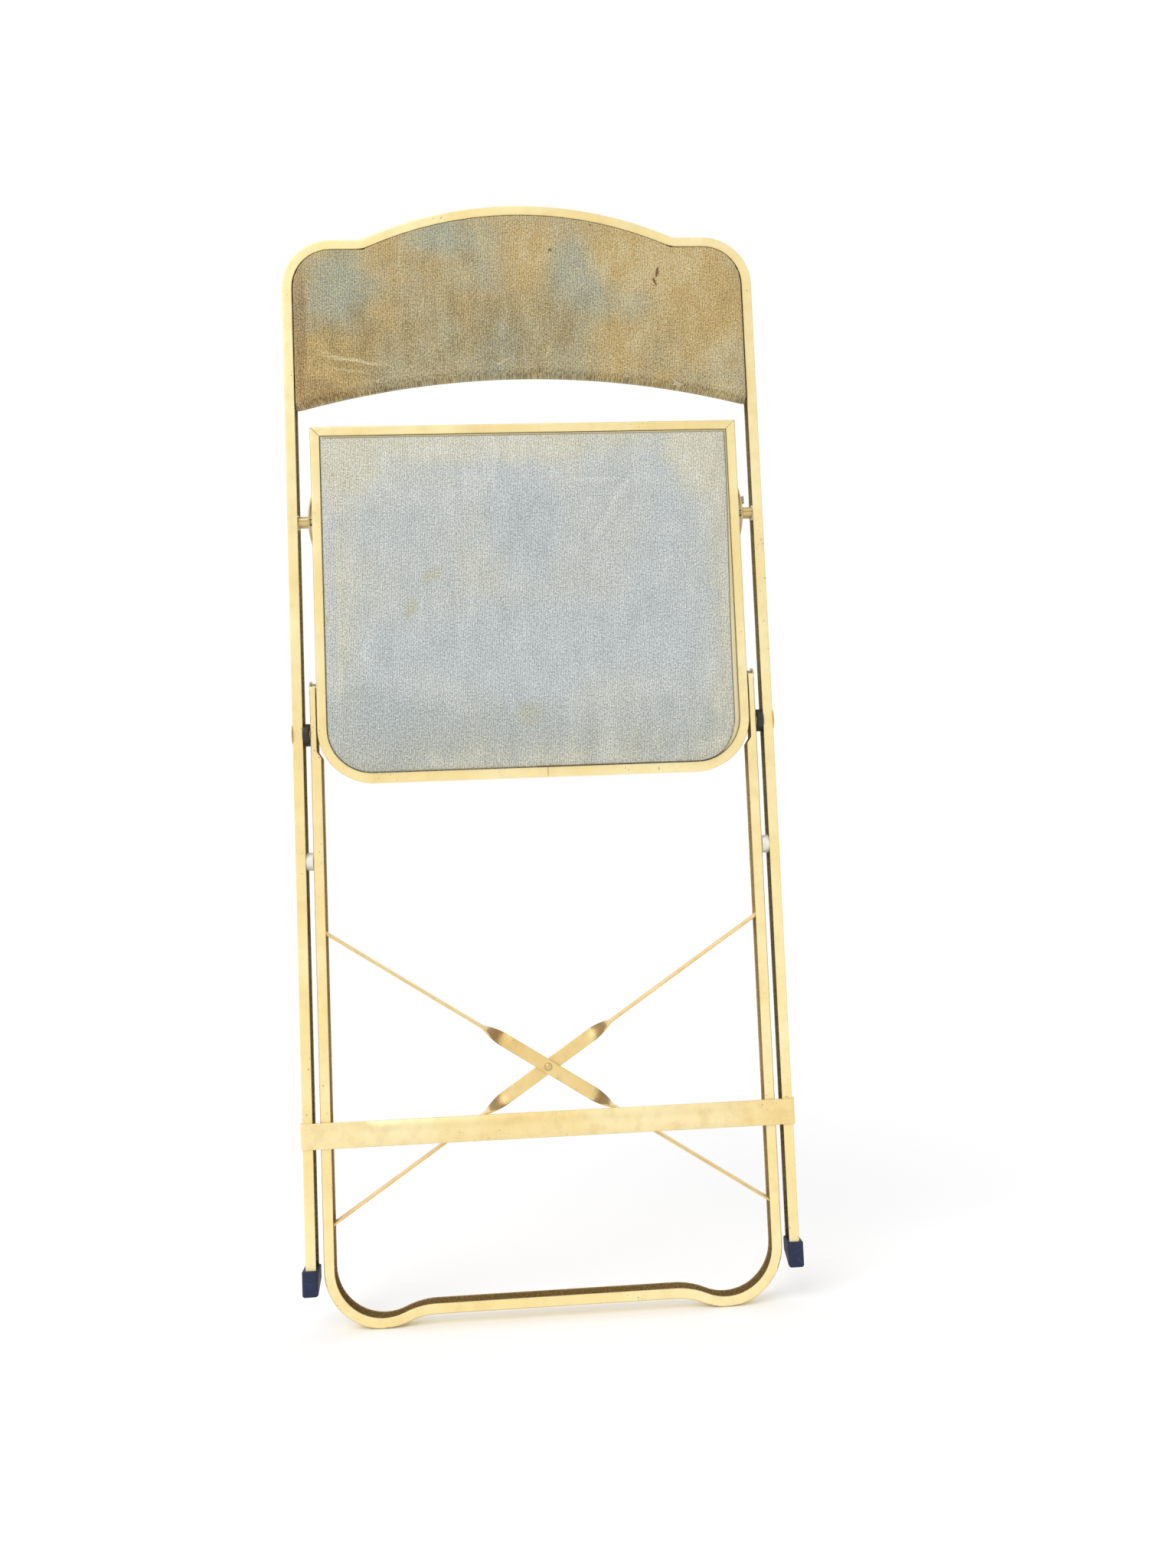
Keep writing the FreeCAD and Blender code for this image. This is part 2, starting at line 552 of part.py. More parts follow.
# ---- assembly ----
def pieces():
    """Every piece of the folded chair on the bench, by node name."""
    frame, board = outer_channel(), back_board()
    cap = foot_cap(frame)
    parts = {
        "outer_channel": frame,
        "front_crossbar": front_crossbar(),
        "back_board": board,
        "back_pad": back_pad(board),
        "rear_channel": rear_channel(),
        "brace_strap_front": brace_strap(True),
        "brace_strap_rear": brace_strap(False),
        "brace_centre_rivet": brace_centre_rivet(),
        "brace_end_rivets": brace_end_rivets(),
        "seat_rim": seat_rim(),
        "seat_board": seat_board(),
        "seat_pad": seat_pad(),
    }
    pairs = {
        "foot_cap": cap,
        "crossing_rivet": crossing_rivet(),
        "crossing_spacer": crossing_spacer(),
        "stop_rivet": stop_rivet(),
        "stop_sleeve": stop_sleeve(),
        "seat_pivot_rivet": seat_pivot_rivet(),
        "seat_pivot_spacer": seat_pivot_spacer(),
        "pin_plate": pin_plate(),
        "seat_pin": seat_pin(),
        "pin_tube": pin_tube(),
        "guide_bush": guide_bush(),
    }
    for name, shape in pairs.items():
        parts[name + "_right"] = shape
        parts[name + "_left"] = mirrored(shape)
    return parts


def place(parts):
    """Stand the folded chair on Z = 0, centred on the origin."""
    whole = Part.makeCompound(list(parts.values())).optimalBoundingBox(False, False)
    move = Vec(0, -(whole.YMin + whole.YMax) / 2, -whole.ZMin)
    return {name: shape.translated(move) for name, shape in parts.items()}, move


def main():
    """Build, place, check and write every piece."""
    os.makedirs("parts", exist_ok=True)
    placed, move = place(pieces())
    for name, shape in placed.items():
        assert shape.isValid(), name
        shape.exportStep("parts/%s.step" % name)
        print("%-24s solids %d volume %.0f" % (name, len(shape.Solids), shape.Volume))
    print("open angle %.3f lean in use %.3f move %.4f %.4f" % (OPEN_ANGLE, USE_LEAN, move.y, move.z))
    sole_x, sole_z = sum(CAP_X) / 2, CAP_HALF_DEPTH * math.tan(math.radians(USE_LEAN))
    for label, point in (("crossing", (0, 0, CROSSING)), ("seat pivot", (0, 0, SEAT_PIVOT)),
                         ("rear pin", (0, 0, REAR_PIN)), ("sole", (sole_x, 0, sole_z))):
        spot = Vec(*point) + move
        print("%s at %.4f %.4f %.4f" % (label, spot.x, spot.y, spot.z))


main()
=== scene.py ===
"""Looks of a flat-folding upholstered chair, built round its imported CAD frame.

The chair stands folded and upright. Bench coordinates, used all through this file, are metres on the
folded chair: x to the right, s up along the frame from the front soles, and n out of the front face from
the channels' mid-plane. Bench turns them into the row frame.
"""
from __future__ import annotations

import json
import logging
import math
from dataclasses import dataclass, field
from enum import Enum
from typing import Sequence

import bmesh
import bpy
import numpy as np
from mathutils import Euler, Matrix, Vector, noise


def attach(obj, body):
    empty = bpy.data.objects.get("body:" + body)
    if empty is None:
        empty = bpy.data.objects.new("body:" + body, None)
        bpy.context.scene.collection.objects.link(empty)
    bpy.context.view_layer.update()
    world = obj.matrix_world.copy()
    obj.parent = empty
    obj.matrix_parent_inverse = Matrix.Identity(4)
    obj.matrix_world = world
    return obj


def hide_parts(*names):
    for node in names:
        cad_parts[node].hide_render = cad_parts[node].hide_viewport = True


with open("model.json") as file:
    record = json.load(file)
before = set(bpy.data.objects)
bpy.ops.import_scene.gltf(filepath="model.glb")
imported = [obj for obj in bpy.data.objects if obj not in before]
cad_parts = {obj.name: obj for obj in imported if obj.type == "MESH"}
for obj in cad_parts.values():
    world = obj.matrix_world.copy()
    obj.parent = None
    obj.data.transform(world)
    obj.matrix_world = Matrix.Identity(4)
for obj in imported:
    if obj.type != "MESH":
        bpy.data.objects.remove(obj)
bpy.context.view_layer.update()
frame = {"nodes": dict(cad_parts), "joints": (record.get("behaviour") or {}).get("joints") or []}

LOG = logging.getLogger("folding_chair")
MM = 0.001


# ---------------------------------------------------------------- bench frame
@dataclass(frozen=True)
class Bench:
    """The folded chair's own plane, read from its two hinge lines."""

    crossing: Vector
    up: Vector
    crossing_s: float = 352 * MM

    @classmethod
    def from_joints(cls, joints: Sequence[dict]) -> Bench:
        """Place the bench frame on the hinges, which both lie on the channels' mid-plane."""
        spots = {joint["name"]: Vector(joint["pos_m"]) for joint in joints}
        crossing = spots["rear_frame_fold"]
        return cls(crossing, (spots["seat_fold"] - crossing).normalized())

    @property
    def out(self) -> Vector:
        """Unit vector out of the chair's front face."""
        return Vector((0, -self.up.z, self.up.y))

    def point(self, x: float, s: float, n: float) -> Vector:
        """Row-frame point of a bench point."""
        return self.crossing + Vector((x, 0, 0)) + self.up * (s - self.crossing_s) + self.out * n

    def matrix(self) -> Matrix:
        """Matrix that takes meshes drawn as (x, n, s) into the row frame."""
        turn = Matrix([Vector((1, 0, 0)), self.out, self.up]).transposed().to_4x4()
        turn.translation = self.point(0, 0, 0)
        return turn


BENCH = Bench.from_joints(frame["joints"])


# ---------------------------------------------------------------- node helpers
def srgb(code: str) -> tuple[float, float, float, float]:
    """Linear RGBA of an sRGB hex colour."""
    values = [int(code[i:i + 2], 16) / 255 for i in (1, 3, 5)]
    linear = [v / 12.92 if v <= 0.04045 else ((v + 0.055) / 1.055) ** 2.4 for v in values]
    return (*linear, 1.0)


def add_node(tree: bpy.types.NodeTree, kind: str, inputs: dict | None = None, **settings) -> bpy.types.Node:
    """Add a node with its settings, values and links.

    Args:
        tree: the node tree.
        kind: the node's type name.
        inputs: socket name or index to a value, or to an output socket to link from.
        **settings: the node's own properties.

    Returns:
        The new node.
    """
    made = tree.nodes.new(kind)
    for name, value in settings.items():
        setattr(made, name, value)
    for key, value in (inputs or {}).items():
        socket = made.inputs[key]
        if isinstance(value, bpy.types.NodeSocket):
            tree.links.new(value, socket)
        else:
            socket.default_value = value
    return made


class Coordinate(Enum):
    """What a material may read of the surface point that it colours."""

    OBJECT = "Object"
    NORMAL = "Normal"


@dataclass
class Shader:
    """A material being built, with the few node idioms that the finishes share."""

    name: str
    material: bpy.types.Material = field(init=False)
    bsdf: bpy.types.Node = field(init=False)

    def __post_init__(self) -> None:
        """Start from an empty tree with one Principled shader."""
        self.material = bpy.data.materials.new(self.name)
        self.material.use_nodes = True
        self.tree.nodes.clear()
        self.bsdf = add_node(self.tree, "ShaderNodeBsdfPrincipled")
        add_node(self.tree, "ShaderNodeOutputMaterial", {"Surface": self.bsdf.outputs["BSDF"]})

    @property
    def tree(self) -> bpy.types.NodeTree:
        """The material's node tree."""
        return self.material.node_tree

    def place(self, which: Coordinate = Coordinate.OBJECT) -> bpy.types.NodeSocket:
        """The surface point, in metres, or its normal."""
        return add_node(self.tree, "ShaderNodeTexCoord").outputs[which.value]

    def uv(self, name: str) -> bpy.types.NodeSocket:
        """A named UV map, which these pieces hold in metres."""
        return add_node(self.tree, "ShaderNodeUVMap", uv_map=name).outputs["UV"]

    def stretched(self, where: bpy.types.NodeSocket, scale: tuple[float, float, float]
                  ) -> bpy.types.NodeSocket:
        """Coordinates scaled along each axis."""
        return add_node(self.tree, "ShaderNodeMapping", {"Vector": where, "Scale": scale}).outputs["Vector"]

    def cloud(self, where: bpy.types.NodeSocket, size: float, detail: float = 3, rough: float = 0.55
              ) -> bpy.types.NodeSocket:
        """Noise whose blobs are about size metres across."""
        return add_node(self.tree, "ShaderNodeTexNoise", {"Vector": where, "Scale": 1 / size, "Detail": detail,
                                                          "Roughness": rough}).outputs["Fac"]

    def ramp(self, value: bpy.types.NodeSocket, low: float, high: float, start: float = 0.0,
             end: float = 1.0) -> bpy.types.NodeSocket:
        """Smooth step of a value from low to high, mapped to start and end."""
        return add_node(self.tree, "ShaderNodeMapRange",
                        {"Value": value, "From Min": low, "From Max": high, "To Min": start, "To Max": end},
                        interpolation_type="SMOOTHSTEP").outputs["Result"]

    def calc(self, operation: str, *values) -> bpy.types.NodeSocket:
        """Math node on sockets or numbers."""
        return add_node(self.tree, "ShaderNodeMath", dict(enumerate(values)), operation=operation).outputs[0]

    def times(self, first, second) -> bpy.types.NodeSocket:
        """Product of two values."""
        return self.calc("MULTIPLY", first, second)

    def mix(self, amount, first, second) -> bpy.types.NodeSocket:
        """Two colours blended by an amount; a hex string is a colour."""
        first, second = (srgb(c) if isinstance(c, str) else c for c in (first, second))
        return add_node(self.tree, "ShaderNodeMix", {0: amount, 6: first, 7: second}, data_type="RGBA"
                        ).outputs[2]

    def mark(self, name: str) -> bpy.types.NodeSocket:
        """A float attribute of the mesh."""
        return add_node(self.tree, "ShaderNodeAttribute", attribute_name=name).outputs["Fac"]

    def along(self, vector: bpy.types.NodeSocket, axis: Vector) -> bpy.types.NodeSocket:
        """Length of a vector along an axis."""
        return add_node(self.tree, "ShaderNodeVectorMath", {0: vector, 1: tuple(axis)},
                        operation="DOT_PRODUCT").outputs["Value"]

    def bump(self, height: bpy.types.NodeSocket, depth: float, edge: float = 0.0) -> None:
        """Bump the surface, on edges that catch the light as if they were rounded.

        Args:
            height: the bump's height, 0 to 1.
            depth: what a height of 1 stands for, in metres.
            edge: radius of the rounding, or 0 for none.
        """
        made = add_node(self.tree, "ShaderNodeBump", {"Height": height, "Strength": 1.0, "Distance": depth})
        if edge:
            rounded = add_node(self.tree, "ShaderNodeBevel", {"Radius": edge}, samples=6)
            self.tree.links.new(rounded.outputs["Normal"], made.inputs["Normal"])
        self.tree.links.new(made.outputs["Normal"], self.bsdf.inputs["Normal"])

    def set(self, **values) -> None:
        """Set the shader's inputs, with underscores for spaces; a hex string is a colour."""
        for key, value in values.items():
            socket = self.bsdf.inputs[key.replace("_", " ")]
            if isinstance(value, bpy.types.NodeSocket):
                self.tree.links.new(value, socket)
            else:
                socket.default_value = srgb(value) if isinstance(value, str) else value


# ---------------------------------------------------------------- finishes
@dataclass(frozen=True)
class BakedEnamel:
    """Pale gold baked enamel on rolled steel: a soft gloss over a faint orange peel, with brown specks and
    chips, and with dirt and painted shade inside the bent channel."""

    name: str = "pale_gold_baked_enamel"
    coat: str = "#F8E09C"
    light: str = "#FCECB4"
    tired: str = "#E4C886"
    # colour of the dirt and painted shade inside the channel
    grime_and_shade: str = "#3C321E"
    chip: str = "#4E3A20"
    face: float = 7.4 * MM        # the channels' outer faces lie further from their mid-plane than this
    patch: float = 80 * MM        # broad fading
    blotch: float = 11 * MM       # tired spots within it
    cluster: float = 45 * MM      # how far apart the groups of specks lie
    speck: float = 2.0 * MM
    peel: float = 1.4 * MM        # orange peel, drawn a little coarser than real so that it shows
    twist_shade: str = "#6E4708"        # painted shade on the twists, standing in for their dark reflection
    edge: float = 1.1 * MM        # the rolled edges' radius
    metallic: float = 0.35        # fine metal flake in the paint
    inward: Vector = BENCH.point(0, 480 * MM, 0)    # a channel's inner side faces this point
    gloss: float = 0.28           # roughness where the paint is smoothest
    twist_shading: float = 0.0          # strength of the painted shade on the twists
    # whether the channel gets dirt and painted shade inside
    soiled_and_shaded: bool = True

    def build(self) -> bpy.types.Material:
        """Build the material, with dirt and painted shade in a channel and painted shade on a twist where they
        are set.
        """
        shader = Shader(self.name)
        where = shader.place()
        broad = shader.ramp(shader.cloud(where, self.patch, 4), 0.35, 0.68)
        fine = shader.ramp(shader.cloud(where, self.blotch, 3), 0.42, 0.75)
        colour = shader.mix(broad, self.coat, self.light)
        colour = shader.mix(shader.times(fine, 0.28), colour, self.tired)
        groups = shader.ramp(shader.cloud(where, self.cluster, 2), 0.48, 0.64)
        specks = shader.times(shader.ramp(shader.cloud(where, self.speck, 1, 0.4), 0.725, 0.77), groups)
        colour = shader.mix(shader.times(specks, 0.75), colour, self.chip)
        # dirt and painted shade inside the channel, more towards the bottom
        if self.soiled_and_shaded:
            colour = shader.mix(self.soil_and_shade(shader, where), colour, self.grime_and_shade)
        # painted shade on the twists, set by how far the face turns from the chair's plane
        if self.twist_shading:
            flat_on = shader.calc("ABSOLUTE", shader.along(shader.place(Coordinate.NORMAL), BENCH.out))
            turning = shader.times(shader.ramp(flat_on, 0.97, 0.72), shader.ramp(flat_on, 0.12, 0.4))
            colour = shader.mix(shader.times(turning, self.twist_shading), colour, self.twist_shade)
        peel = shader.cloud(where, self.peel, 2)
        shader.bump(shader.calc("SUBTRACT", peel, shader.times(specks, 1.5)), 0.03 * MM, self.edge)
        rough = shader.ramp(shader.cloud(where, 0.03, 4), 0.3, 0.7, self.gloss, self.gloss + 0.14)
        shader.set(Base_Color=colour, Roughness=rough, Metallic=self.metallic, Coat_Weight=0.15,
                   Coat_Roughness=0.2)
        return shader.material

    def soil_and_shade(self, shader: Shader, where: bpy.types.NodeSocket) -> bpy.types.NodeSocket:
        """Amount of dirt and painted shade: on faces inside the channel that lie parallel to its own outer
        faces.
        """
        depth = shader.calc("SUBTRACT", shader.along(where, BENCH.out), BENCH.crossing.dot(BENCH.out))
        within = shader.ramp(shader.calc("ABSOLUTE", depth), self.face - 0.1 * MM, self.face + 0.3 * MM,
                             1.0, 0.0)
        normal = shader.place(Coordinate.NORMAL)
        flat = shader.ramp(shader.calc("ABSOLUTE", shader.along(normal, BENCH.out)), 0.4, 0.9)
        inner = add_node(shader.tree, "ShaderNodeVectorMath", {0: tuple(self.inward), 1: where},
                         operation="SUBTRACT").outputs[0]
        facing = add_node(shader.tree, "ShaderNodeVectorMath", {0: inner, 1: normal}, operation="DOT_PRODUCT")
        flat = shader.calc("MAXIMUM", flat, shader.ramp(facing.outputs["Value"], 0.02, 0.06))
        dusty = shader.ramp(shader.cloud(where, 1.6 * MM, 4), 0.3, 0.7, 0.72, 1.0)
        height = add_node(shader.tree, "ShaderNodeSeparateXYZ", {0: where}).outputs["Z"]
        low = shader.ramp(height, 0.02, 0.12, 1.0, 0.78)
        return shader.times(shader.times(shader.times(within, flat), dusty), low)


@dataclass(frozen=True)
class Mark:
    """A patch of warmer, cooler, darker or paler tone, a stain or a crease on a cover: an ellipse on the bench
    plane, in mm and degrees.
    """

    x: float
    s: float
    wide: float
    tall: float
    strength: float
    turn: float = 0.0

    def amount(self, xs: np.ndarray, ss: np.ndarray) -> np.ndarray:
        """How much of the mark there is at each point."""
        cos, sin = math.cos(math.radians(self.turn)), math.sin(math.radians(self.turn))
        u, v = xs - self.x * MM, ss - self.s * MM
        a, b = (u * cos + v * sin) / (self.wide * MM), (v * cos - u * sin) / (self.tall * MM)
        return self.strength * smooth(1.25 - np.hypot(a, b))

    def drawn(self, shader: Shader, cloth: bpy.types.NodeSocket) -> bpy.types.NodeSocket:
        """How much of the mark there is, drawn by nodes, for a mark too fine for the mesh."""
        local = add_node(shader.tree, "ShaderNodeMapping",
                         {"Vector": cloth, "Location": (self.x * MM, self.s * MM, 0),
                          "Rotation": (0, 0, math.radians(self.turn)),
                          "Scale": (self.wide * MM, self.tall * MM, 1)}, vector_type="TEXTURE")
        reach = add_node(shader.tree, "ShaderNodeVectorMath", {0: local.outputs[0]}, operation="LENGTH")
        return shader.ramp(reach.outputs["Value"], 0.5, 1.2, self.strength, 0.0)


@dataclass(frozen=True)
class RibbedVelvet:
    """Needle-ribbed cotton velvet, matt, with a painted highlight on the pile, worn flat and faded in patches.

    The ribs themselves are geometry; the material paints shade into their valleys and a highlight on their
    ridges, and adds the pile and the fading. The piece's mesh marks where it is faded warm or cool, darker or
    paler in patches, stained, creased and edged."""

    name: str
    cool: str
    warm: str
    pale: str
    dark: str
    # colour of the painted shade in the rib valleys and along the rolled hem
    shade_colour: str
    stain: str
    edging: str
    balance: float                # share of the warm tone
    warm_rim: float               # how much warmer it is beside the channel
    contrast: float               # of the painted shade in the ribs' valleys and the painted highlight on their ridges
    groove: str = "#6B6350"       # painted shade in the groove beside the edging
    tuck: str = "#2E2A1E"         # painted shade where the cover goes under the flange
    patchy: float = 1.6           # how far the fading strays from the balance
    mottle: float = 0.55
    scratched: float = 0.0
    tuck_shade: float = 0.8             # strength of the painted shade line where the cover tucks in
    rim_width: float = 40 * MM
    sway: float = 5 * MM          # how far the outline of a stain or crease strays
    pile: float = 1.1 * MM        # a tuft of pile is finer; it is drawn this coarse so that it shows

    def build(self, stains: Sequence[Mark], creases: Sequence[Mark]) -> bpy.types.Material:
        """Build the material on the piece's cloth map, so that it follows the cover.

        Args:
            stains: small dark marks.
            creases: pale rubbed lines.

        Returns:
            The material.
        """
        shader = Shader(self.name)
        cloth = shader.uv("cloth")
        colour = self.fading(shader, cloth)
        colour = self.marks(shader, cloth, colour)
        sway = add_node(shader.tree, "ShaderNodeTexNoise", {"Vector": cloth, "Scale": 90, "Detail": 3}
                        ).outputs["Color"]
        swayed = add_node(shader.tree, "ShaderNodeVectorMath",
                          {0: sway, 1: (self.sway, self.sway, 0), 2: cloth}, operation="MULTIPLY_ADD")
        centred = add_node(shader.tree, "ShaderNodeVectorMath",
                           {0: swayed.outputs[0], 1: (self.sway / 2, self.sway / 2, 0)},
                           operation="SUBTRACT").outputs[0]
        for group, tint in ((creases, self.pale), (stains, self.stain)):
            for mark in group:
                amount = shader.times(mark.drawn(shader, centred), shader.mark("fore"))
                colour = shader.mix(amount, colour, tint)
        # painted shade between the ribs and tufts, then a painted highlight on the ridges and pile
        ridge = shader.mark("ridge")
        nap = shader.cloud(shader.stretched(cloth, (1, 0.8, 1)), self.pile, 2, 0.7)
        low = shader.calc("SUBTRACT", shader.ramp(nap, 0.36, 0.64, 1.25, 0.35), ridge)
        low = shader.calc("MINIMUM", shader.calc("MAXIMUM", low, 0.0), 1.0)
        colour = shader.mix(shader.times(low, self.contrast), colour, self.shade_colour)
        lit = shader.times(shader.ramp(nap, 0.46, 0.64), shader.ramp(ridge, 0.2, 0.9, 0.2, 1.0))
        colour = shader.mix(shader.times(lit, self.contrast * 0.8), colour, self.pale)
        colour = shader.mix(shader.times(shader.mark("edging"), 0.85), colour, self.edging)
        # painted shade in the groove beside the edging
        colour = shader.mix(shader.times(shader.mark("groove"), 0.75), colour, self.groove)
        shader.bump(nap, 0.2 * MM)
        shader.set(Base_Color=colour, Roughness=0.93, Specular_IOR_Level=0.15, Sheen_Weight=0.12,
                   Sheen_Roughness=0.5, Sheen_Tint=self.pale)
        return shader.material

    def fading(self, shader: Shader, cloth: bpy.types.NodeSocket) -> bpy.types.NodeSocket:
        """Warm and cool tones in broad soft patches, darker and paler mottling, and a fine grain."""
        broad = shader.cloud(shader.stretched(cloth, (1, 0.8, 1)), 0.07, 6, 0.62)
        tone = shader.calc("ADD", shader.times(shader.calc("SUBTRACT", broad, 0.5), self.patchy),
                           self.balance)
        tone = shader.calc("ADD", tone, shader.times(shader.mark("warmth"), 0.5))
        rim = shader.ramp(shader.mark("rim"), 0.0, self.rim_width, self.warm_rim, 0.0)
        tone = shader.calc("ADD", tone, shader.times(rim, shader.ramp(broad, 0.3, 0.7, 0.5, 1.0)))
        colour = shader.mix(shader.ramp(tone, 0.0, 1.0), self.cool, self.warm)
        middle = shader.cloud(shader.stretched(cloth, (1, 0.6, 1)), 0.018, 5, 0.65)
        streak = shader.cloud(shader.stretched(cloth, (1, 0.06, 1)), 5 * MM, 3)
        soil_and_shade = shader.calc("ADD", shader.times(shader.calc("SUBTRACT", middle, 0.5), 1.6),
                           shader.times(shader.calc("SUBTRACT", streak, 0.5), 0.6))
        soil_and_shade = shader.calc("ADD", soil_and_shade, shader.times(shader.mark("shade"), 0.35))
        colour = shader.mix(shader.times(shader.ramp(soil_and_shade, -0.1, 0.55), self.mottle), colour, self.dark)
        colour = shader.mix(shader.times(shader.ramp(soil_and_shade, -0.05, -0.5), self.mottle), colour, self.pale)
        grain = shader.cloud(cloth, 3 * MM, 4, 0.7)
        colour = shader.mix(shader.times(shader.ramp(grain, 0.5, 0.72), self.mottle * 0.7), colour, self.dark)
        return shader.mix(shader.times(shader.ramp(grain, 0.5, 0.3), self.mottle * 0.6), colour, self.pale)

    def marks(self, shader: Shader, cloth: bpy.types.NodeSocket, colour: bpy.types.NodeSocket
              ) -> bpy.types.NodeSocket:
        """Scratches, painted shade along the rolled hem, and a painted shade line where the cover tucks in."""
        colour = shader.mix(self.scratches(shader, cloth), colour, self.pale)
        # painted shade along the rolled hem, with a ragged edge
        ragged = shader.ramp(shader.cloud(cloth, 4 * MM, 4), 0.2, 0.7, 0.5, 1.0)
        colour = shader.mix(shader.times(shader.times(shader.mark("hem"), 0.3), ragged), colour, self.shade_colour)
        # painted shade line where the cover tucks under the flange
        tuck = shader.ramp(shader.mark("rim"), 0.5 * MM, 1.5 * MM, self.tuck_shade, 0.0)
        return shader.mix(tuck, colour, self.tuck)

    def scratches(self, shader: Shader, cloth: bpy.types.NodeSocket) -> bpy.types.NodeSocket:
        """Hair-thin pale lines where the pile was scratched, in loose groups."""
        bend = add_node(shader.tree, "ShaderNodeTexNoise", {"Vector": cloth, "Scale": 14, "Detail": 2}
                        ).outputs["Color"]
        bent = add_node(shader.tree, "ShaderNodeVectorMath", {0: bend, 1: (0.03, 0.03, 0), 2: cloth},
                        operation="MULTIPLY_ADD").outputs[0]
        cells = add_node(shader.tree, "ShaderNodeTexVoronoi", {"Vector": bent, "Scale": 38},
                         feature="DISTANCE_TO_EDGE").outputs["Distance"]
        groups = shader.ramp(shader.cloud(cloth, 0.025, 3), 0.5, 0.62)
        lines = shader.times(shader.ramp(cells, 0.004, 0.016, 1.0, 0.0), shader.mark("fore"))
        return shader.times(shader.times(lines, groups), self.scratched)


@dataclass(frozen=True)
class MouldedPlastic:
    """Moulded plastic: an even colour, a fine skin texture, and scuffs that catch dust. Felt and cotton
    take it too, rough enough to lose all gloss."""

    name: str
    colour: str
    scuff: str
    roughness: float
    scuffed: float = 0.5
    scuff_size: float = 6 * MM
    skin: float = 0.9 * MM        # the skin's grain, drawn coarser than real so that it shows
    edge: float = 0.7 * MM        # radius of the moulded edges

    def build(self) -> bpy.types.Material:
        """Build the material."""
        shader = Shader(self.name)
        where = shader.place()
        long = shader.stretched(where, (1, 1, 2.2))
        marks = shader.ramp(shader.cloud(long, self.scuff_size, 5, 0.6), 0.5, 0.78)
        colour = shader.mix(shader.times(marks, self.scuffed), self.colour, self.scuff)
        shader.bump(shader.cloud(where, self.skin, 2), 0.04 * MM, self.edge)
        rough = shader.ramp(shader.cloud(where, 10 * MM, 3), 0.3, 0.7, self.roughness - 0.08,
                            self.roughness + 0.12)
        shader.set(Base_Color=colour, Roughness=rough)
        return shader.material


@dataclass(frozen=True)
class PlatedSteel:
    """Plated steel rivets, dulled: grey metal with a brown bloom in places."""

    name: str = "dulled_plated_steel"
    metal: str = "#B5AD98"
    bloom: str = "#6B5334"
    spot: float = 4 * MM          # size of a spot of bloom
    edge: float = 0.4 * MM        # radius of the heads' edges

    def build(self) -> bpy.types.Material:
        """Build the material."""
        shader = Shader(self.name)
        where = shader.place()
        tarnish = shader.ramp(shader.cloud(where, self.spot, 4), 0.45, 0.7)
        shader.bump(shader.cloud(where, 0.7 * MM, 2), 0.04 * MM, self.edge)
        shader.set(Base_Color=shader.mix(shader.times(tarnish, 0.6), self.metal, self.bloom), Metallic=1.0,
                   Roughness=shader.ramp(tarnish, 0, 1, 0.32, 0.6))
        return shader.material


@dataclass(frozen=True)
class PressedBoard:
    """Brown pressed hardboard: matted fibres and a faint sheen from the press."""

    name: str = "pressed_hardboard"
    brown: str = "#7A5534"
    fibre: str = "#9A744A"
    dark: str = "#4A301C"
    clump: float = 1.6 * MM       # matted fibres; single ones are too fine to show
    patch: float = 50 * MM

    def build(self) -> bpy.types.Material:
        """Build the material."""
        shader = Shader(self.name)
        where = shader.place()
        mat = shader.ramp(shader.cloud(where, self.clump, 5, 0.6), 0.35, 0.7)
        broad = shader.ramp(shader.cloud(where, self.patch, 4), 0.35, 0.7)
        colour = shader.mix(shader.times(broad, 0.35), shader.mix(mat, self.brown, self.fibre), self.dark)
        shader.bump(mat, 0.12 * MM)
        shader.set(Base_Color=colour, Roughness=0.62)
        return shader.material


@dataclass(frozen=True)
class StudioPaper:
    """Matt white studio paper, so evenly lit that it shows only soft shadows."""

    name: str = "matt_studio_paper"
    white: str = "#FAFAFB"

    def build(self) -> bpy.types.Material:
        """Build the material."""
        shader = Shader(self.name)
        grain = shader.ramp(shader.cloud(shader.place(), 0.4, 2), 0.0, 1.0, 0.0, 0.02)
        shader.set(Base_Color=shader.mix(grain, self.white, "#E8E8E8"), Roughness=0.95,
                   Specular_IOR_Level=0.1)
        return shader.material


# ---------------------------------------------------------------- mesh helpers
def link_mesh(name: str, points: Sequence, edges: Sequence, faces: Sequence) -> bpy.types.Object:
    """Object with a plain mesh, linked to the scene."""
    mesh = bpy.data.meshes.new(name)
    mesh.from_pydata(points, edges, faces)
    made = bpy.data.objects.new(name, mesh)
    bpy.context.scene.collection.objects.link(made)
    return made


def settle(piece: bpy.types.Object) -> bpy.types.Mesh:
    """Plain mesh of a piece's evaluated shape; a mesh piece keeps it and loses its modifiers."""
    graph = bpy.context.evaluated_depsgraph_get()
    graph.update()
    mesh = bpy.data.meshes.new_from_object(piece.evaluated_get(graph), preserve_all_data_layers=True,
                                           depsgraph=graph)
    piece.modifiers.clear()
    if piece.type == "MESH":
        piece.data = mesh
    return mesh


def mark_points(mesh: bpy.types.Mesh, name: str, values: np.ndarray) -> None:
    """Write one float for each vertex."""
    layer = mesh.attributes.new(name, "FLOAT", "POINT")
    layer.data.foreach_set("value", np.ascontiguousarray(values, dtype=np.float32).ravel())


def ease(t: np.ndarray) -> np.ndarray:
    """Quarter-circle rise from 0 to 1, steep at first."""
    t = np.clip(t, 0, 1)
    return np.sqrt(1 - (1 - t) ** 2)


def smooth(t: np.ndarray) -> np.ndarray:
    """Smooth step from 0 to 1."""
    t = np.clip(t, 0, 1)
    return t * t * (3 - 2 * t)


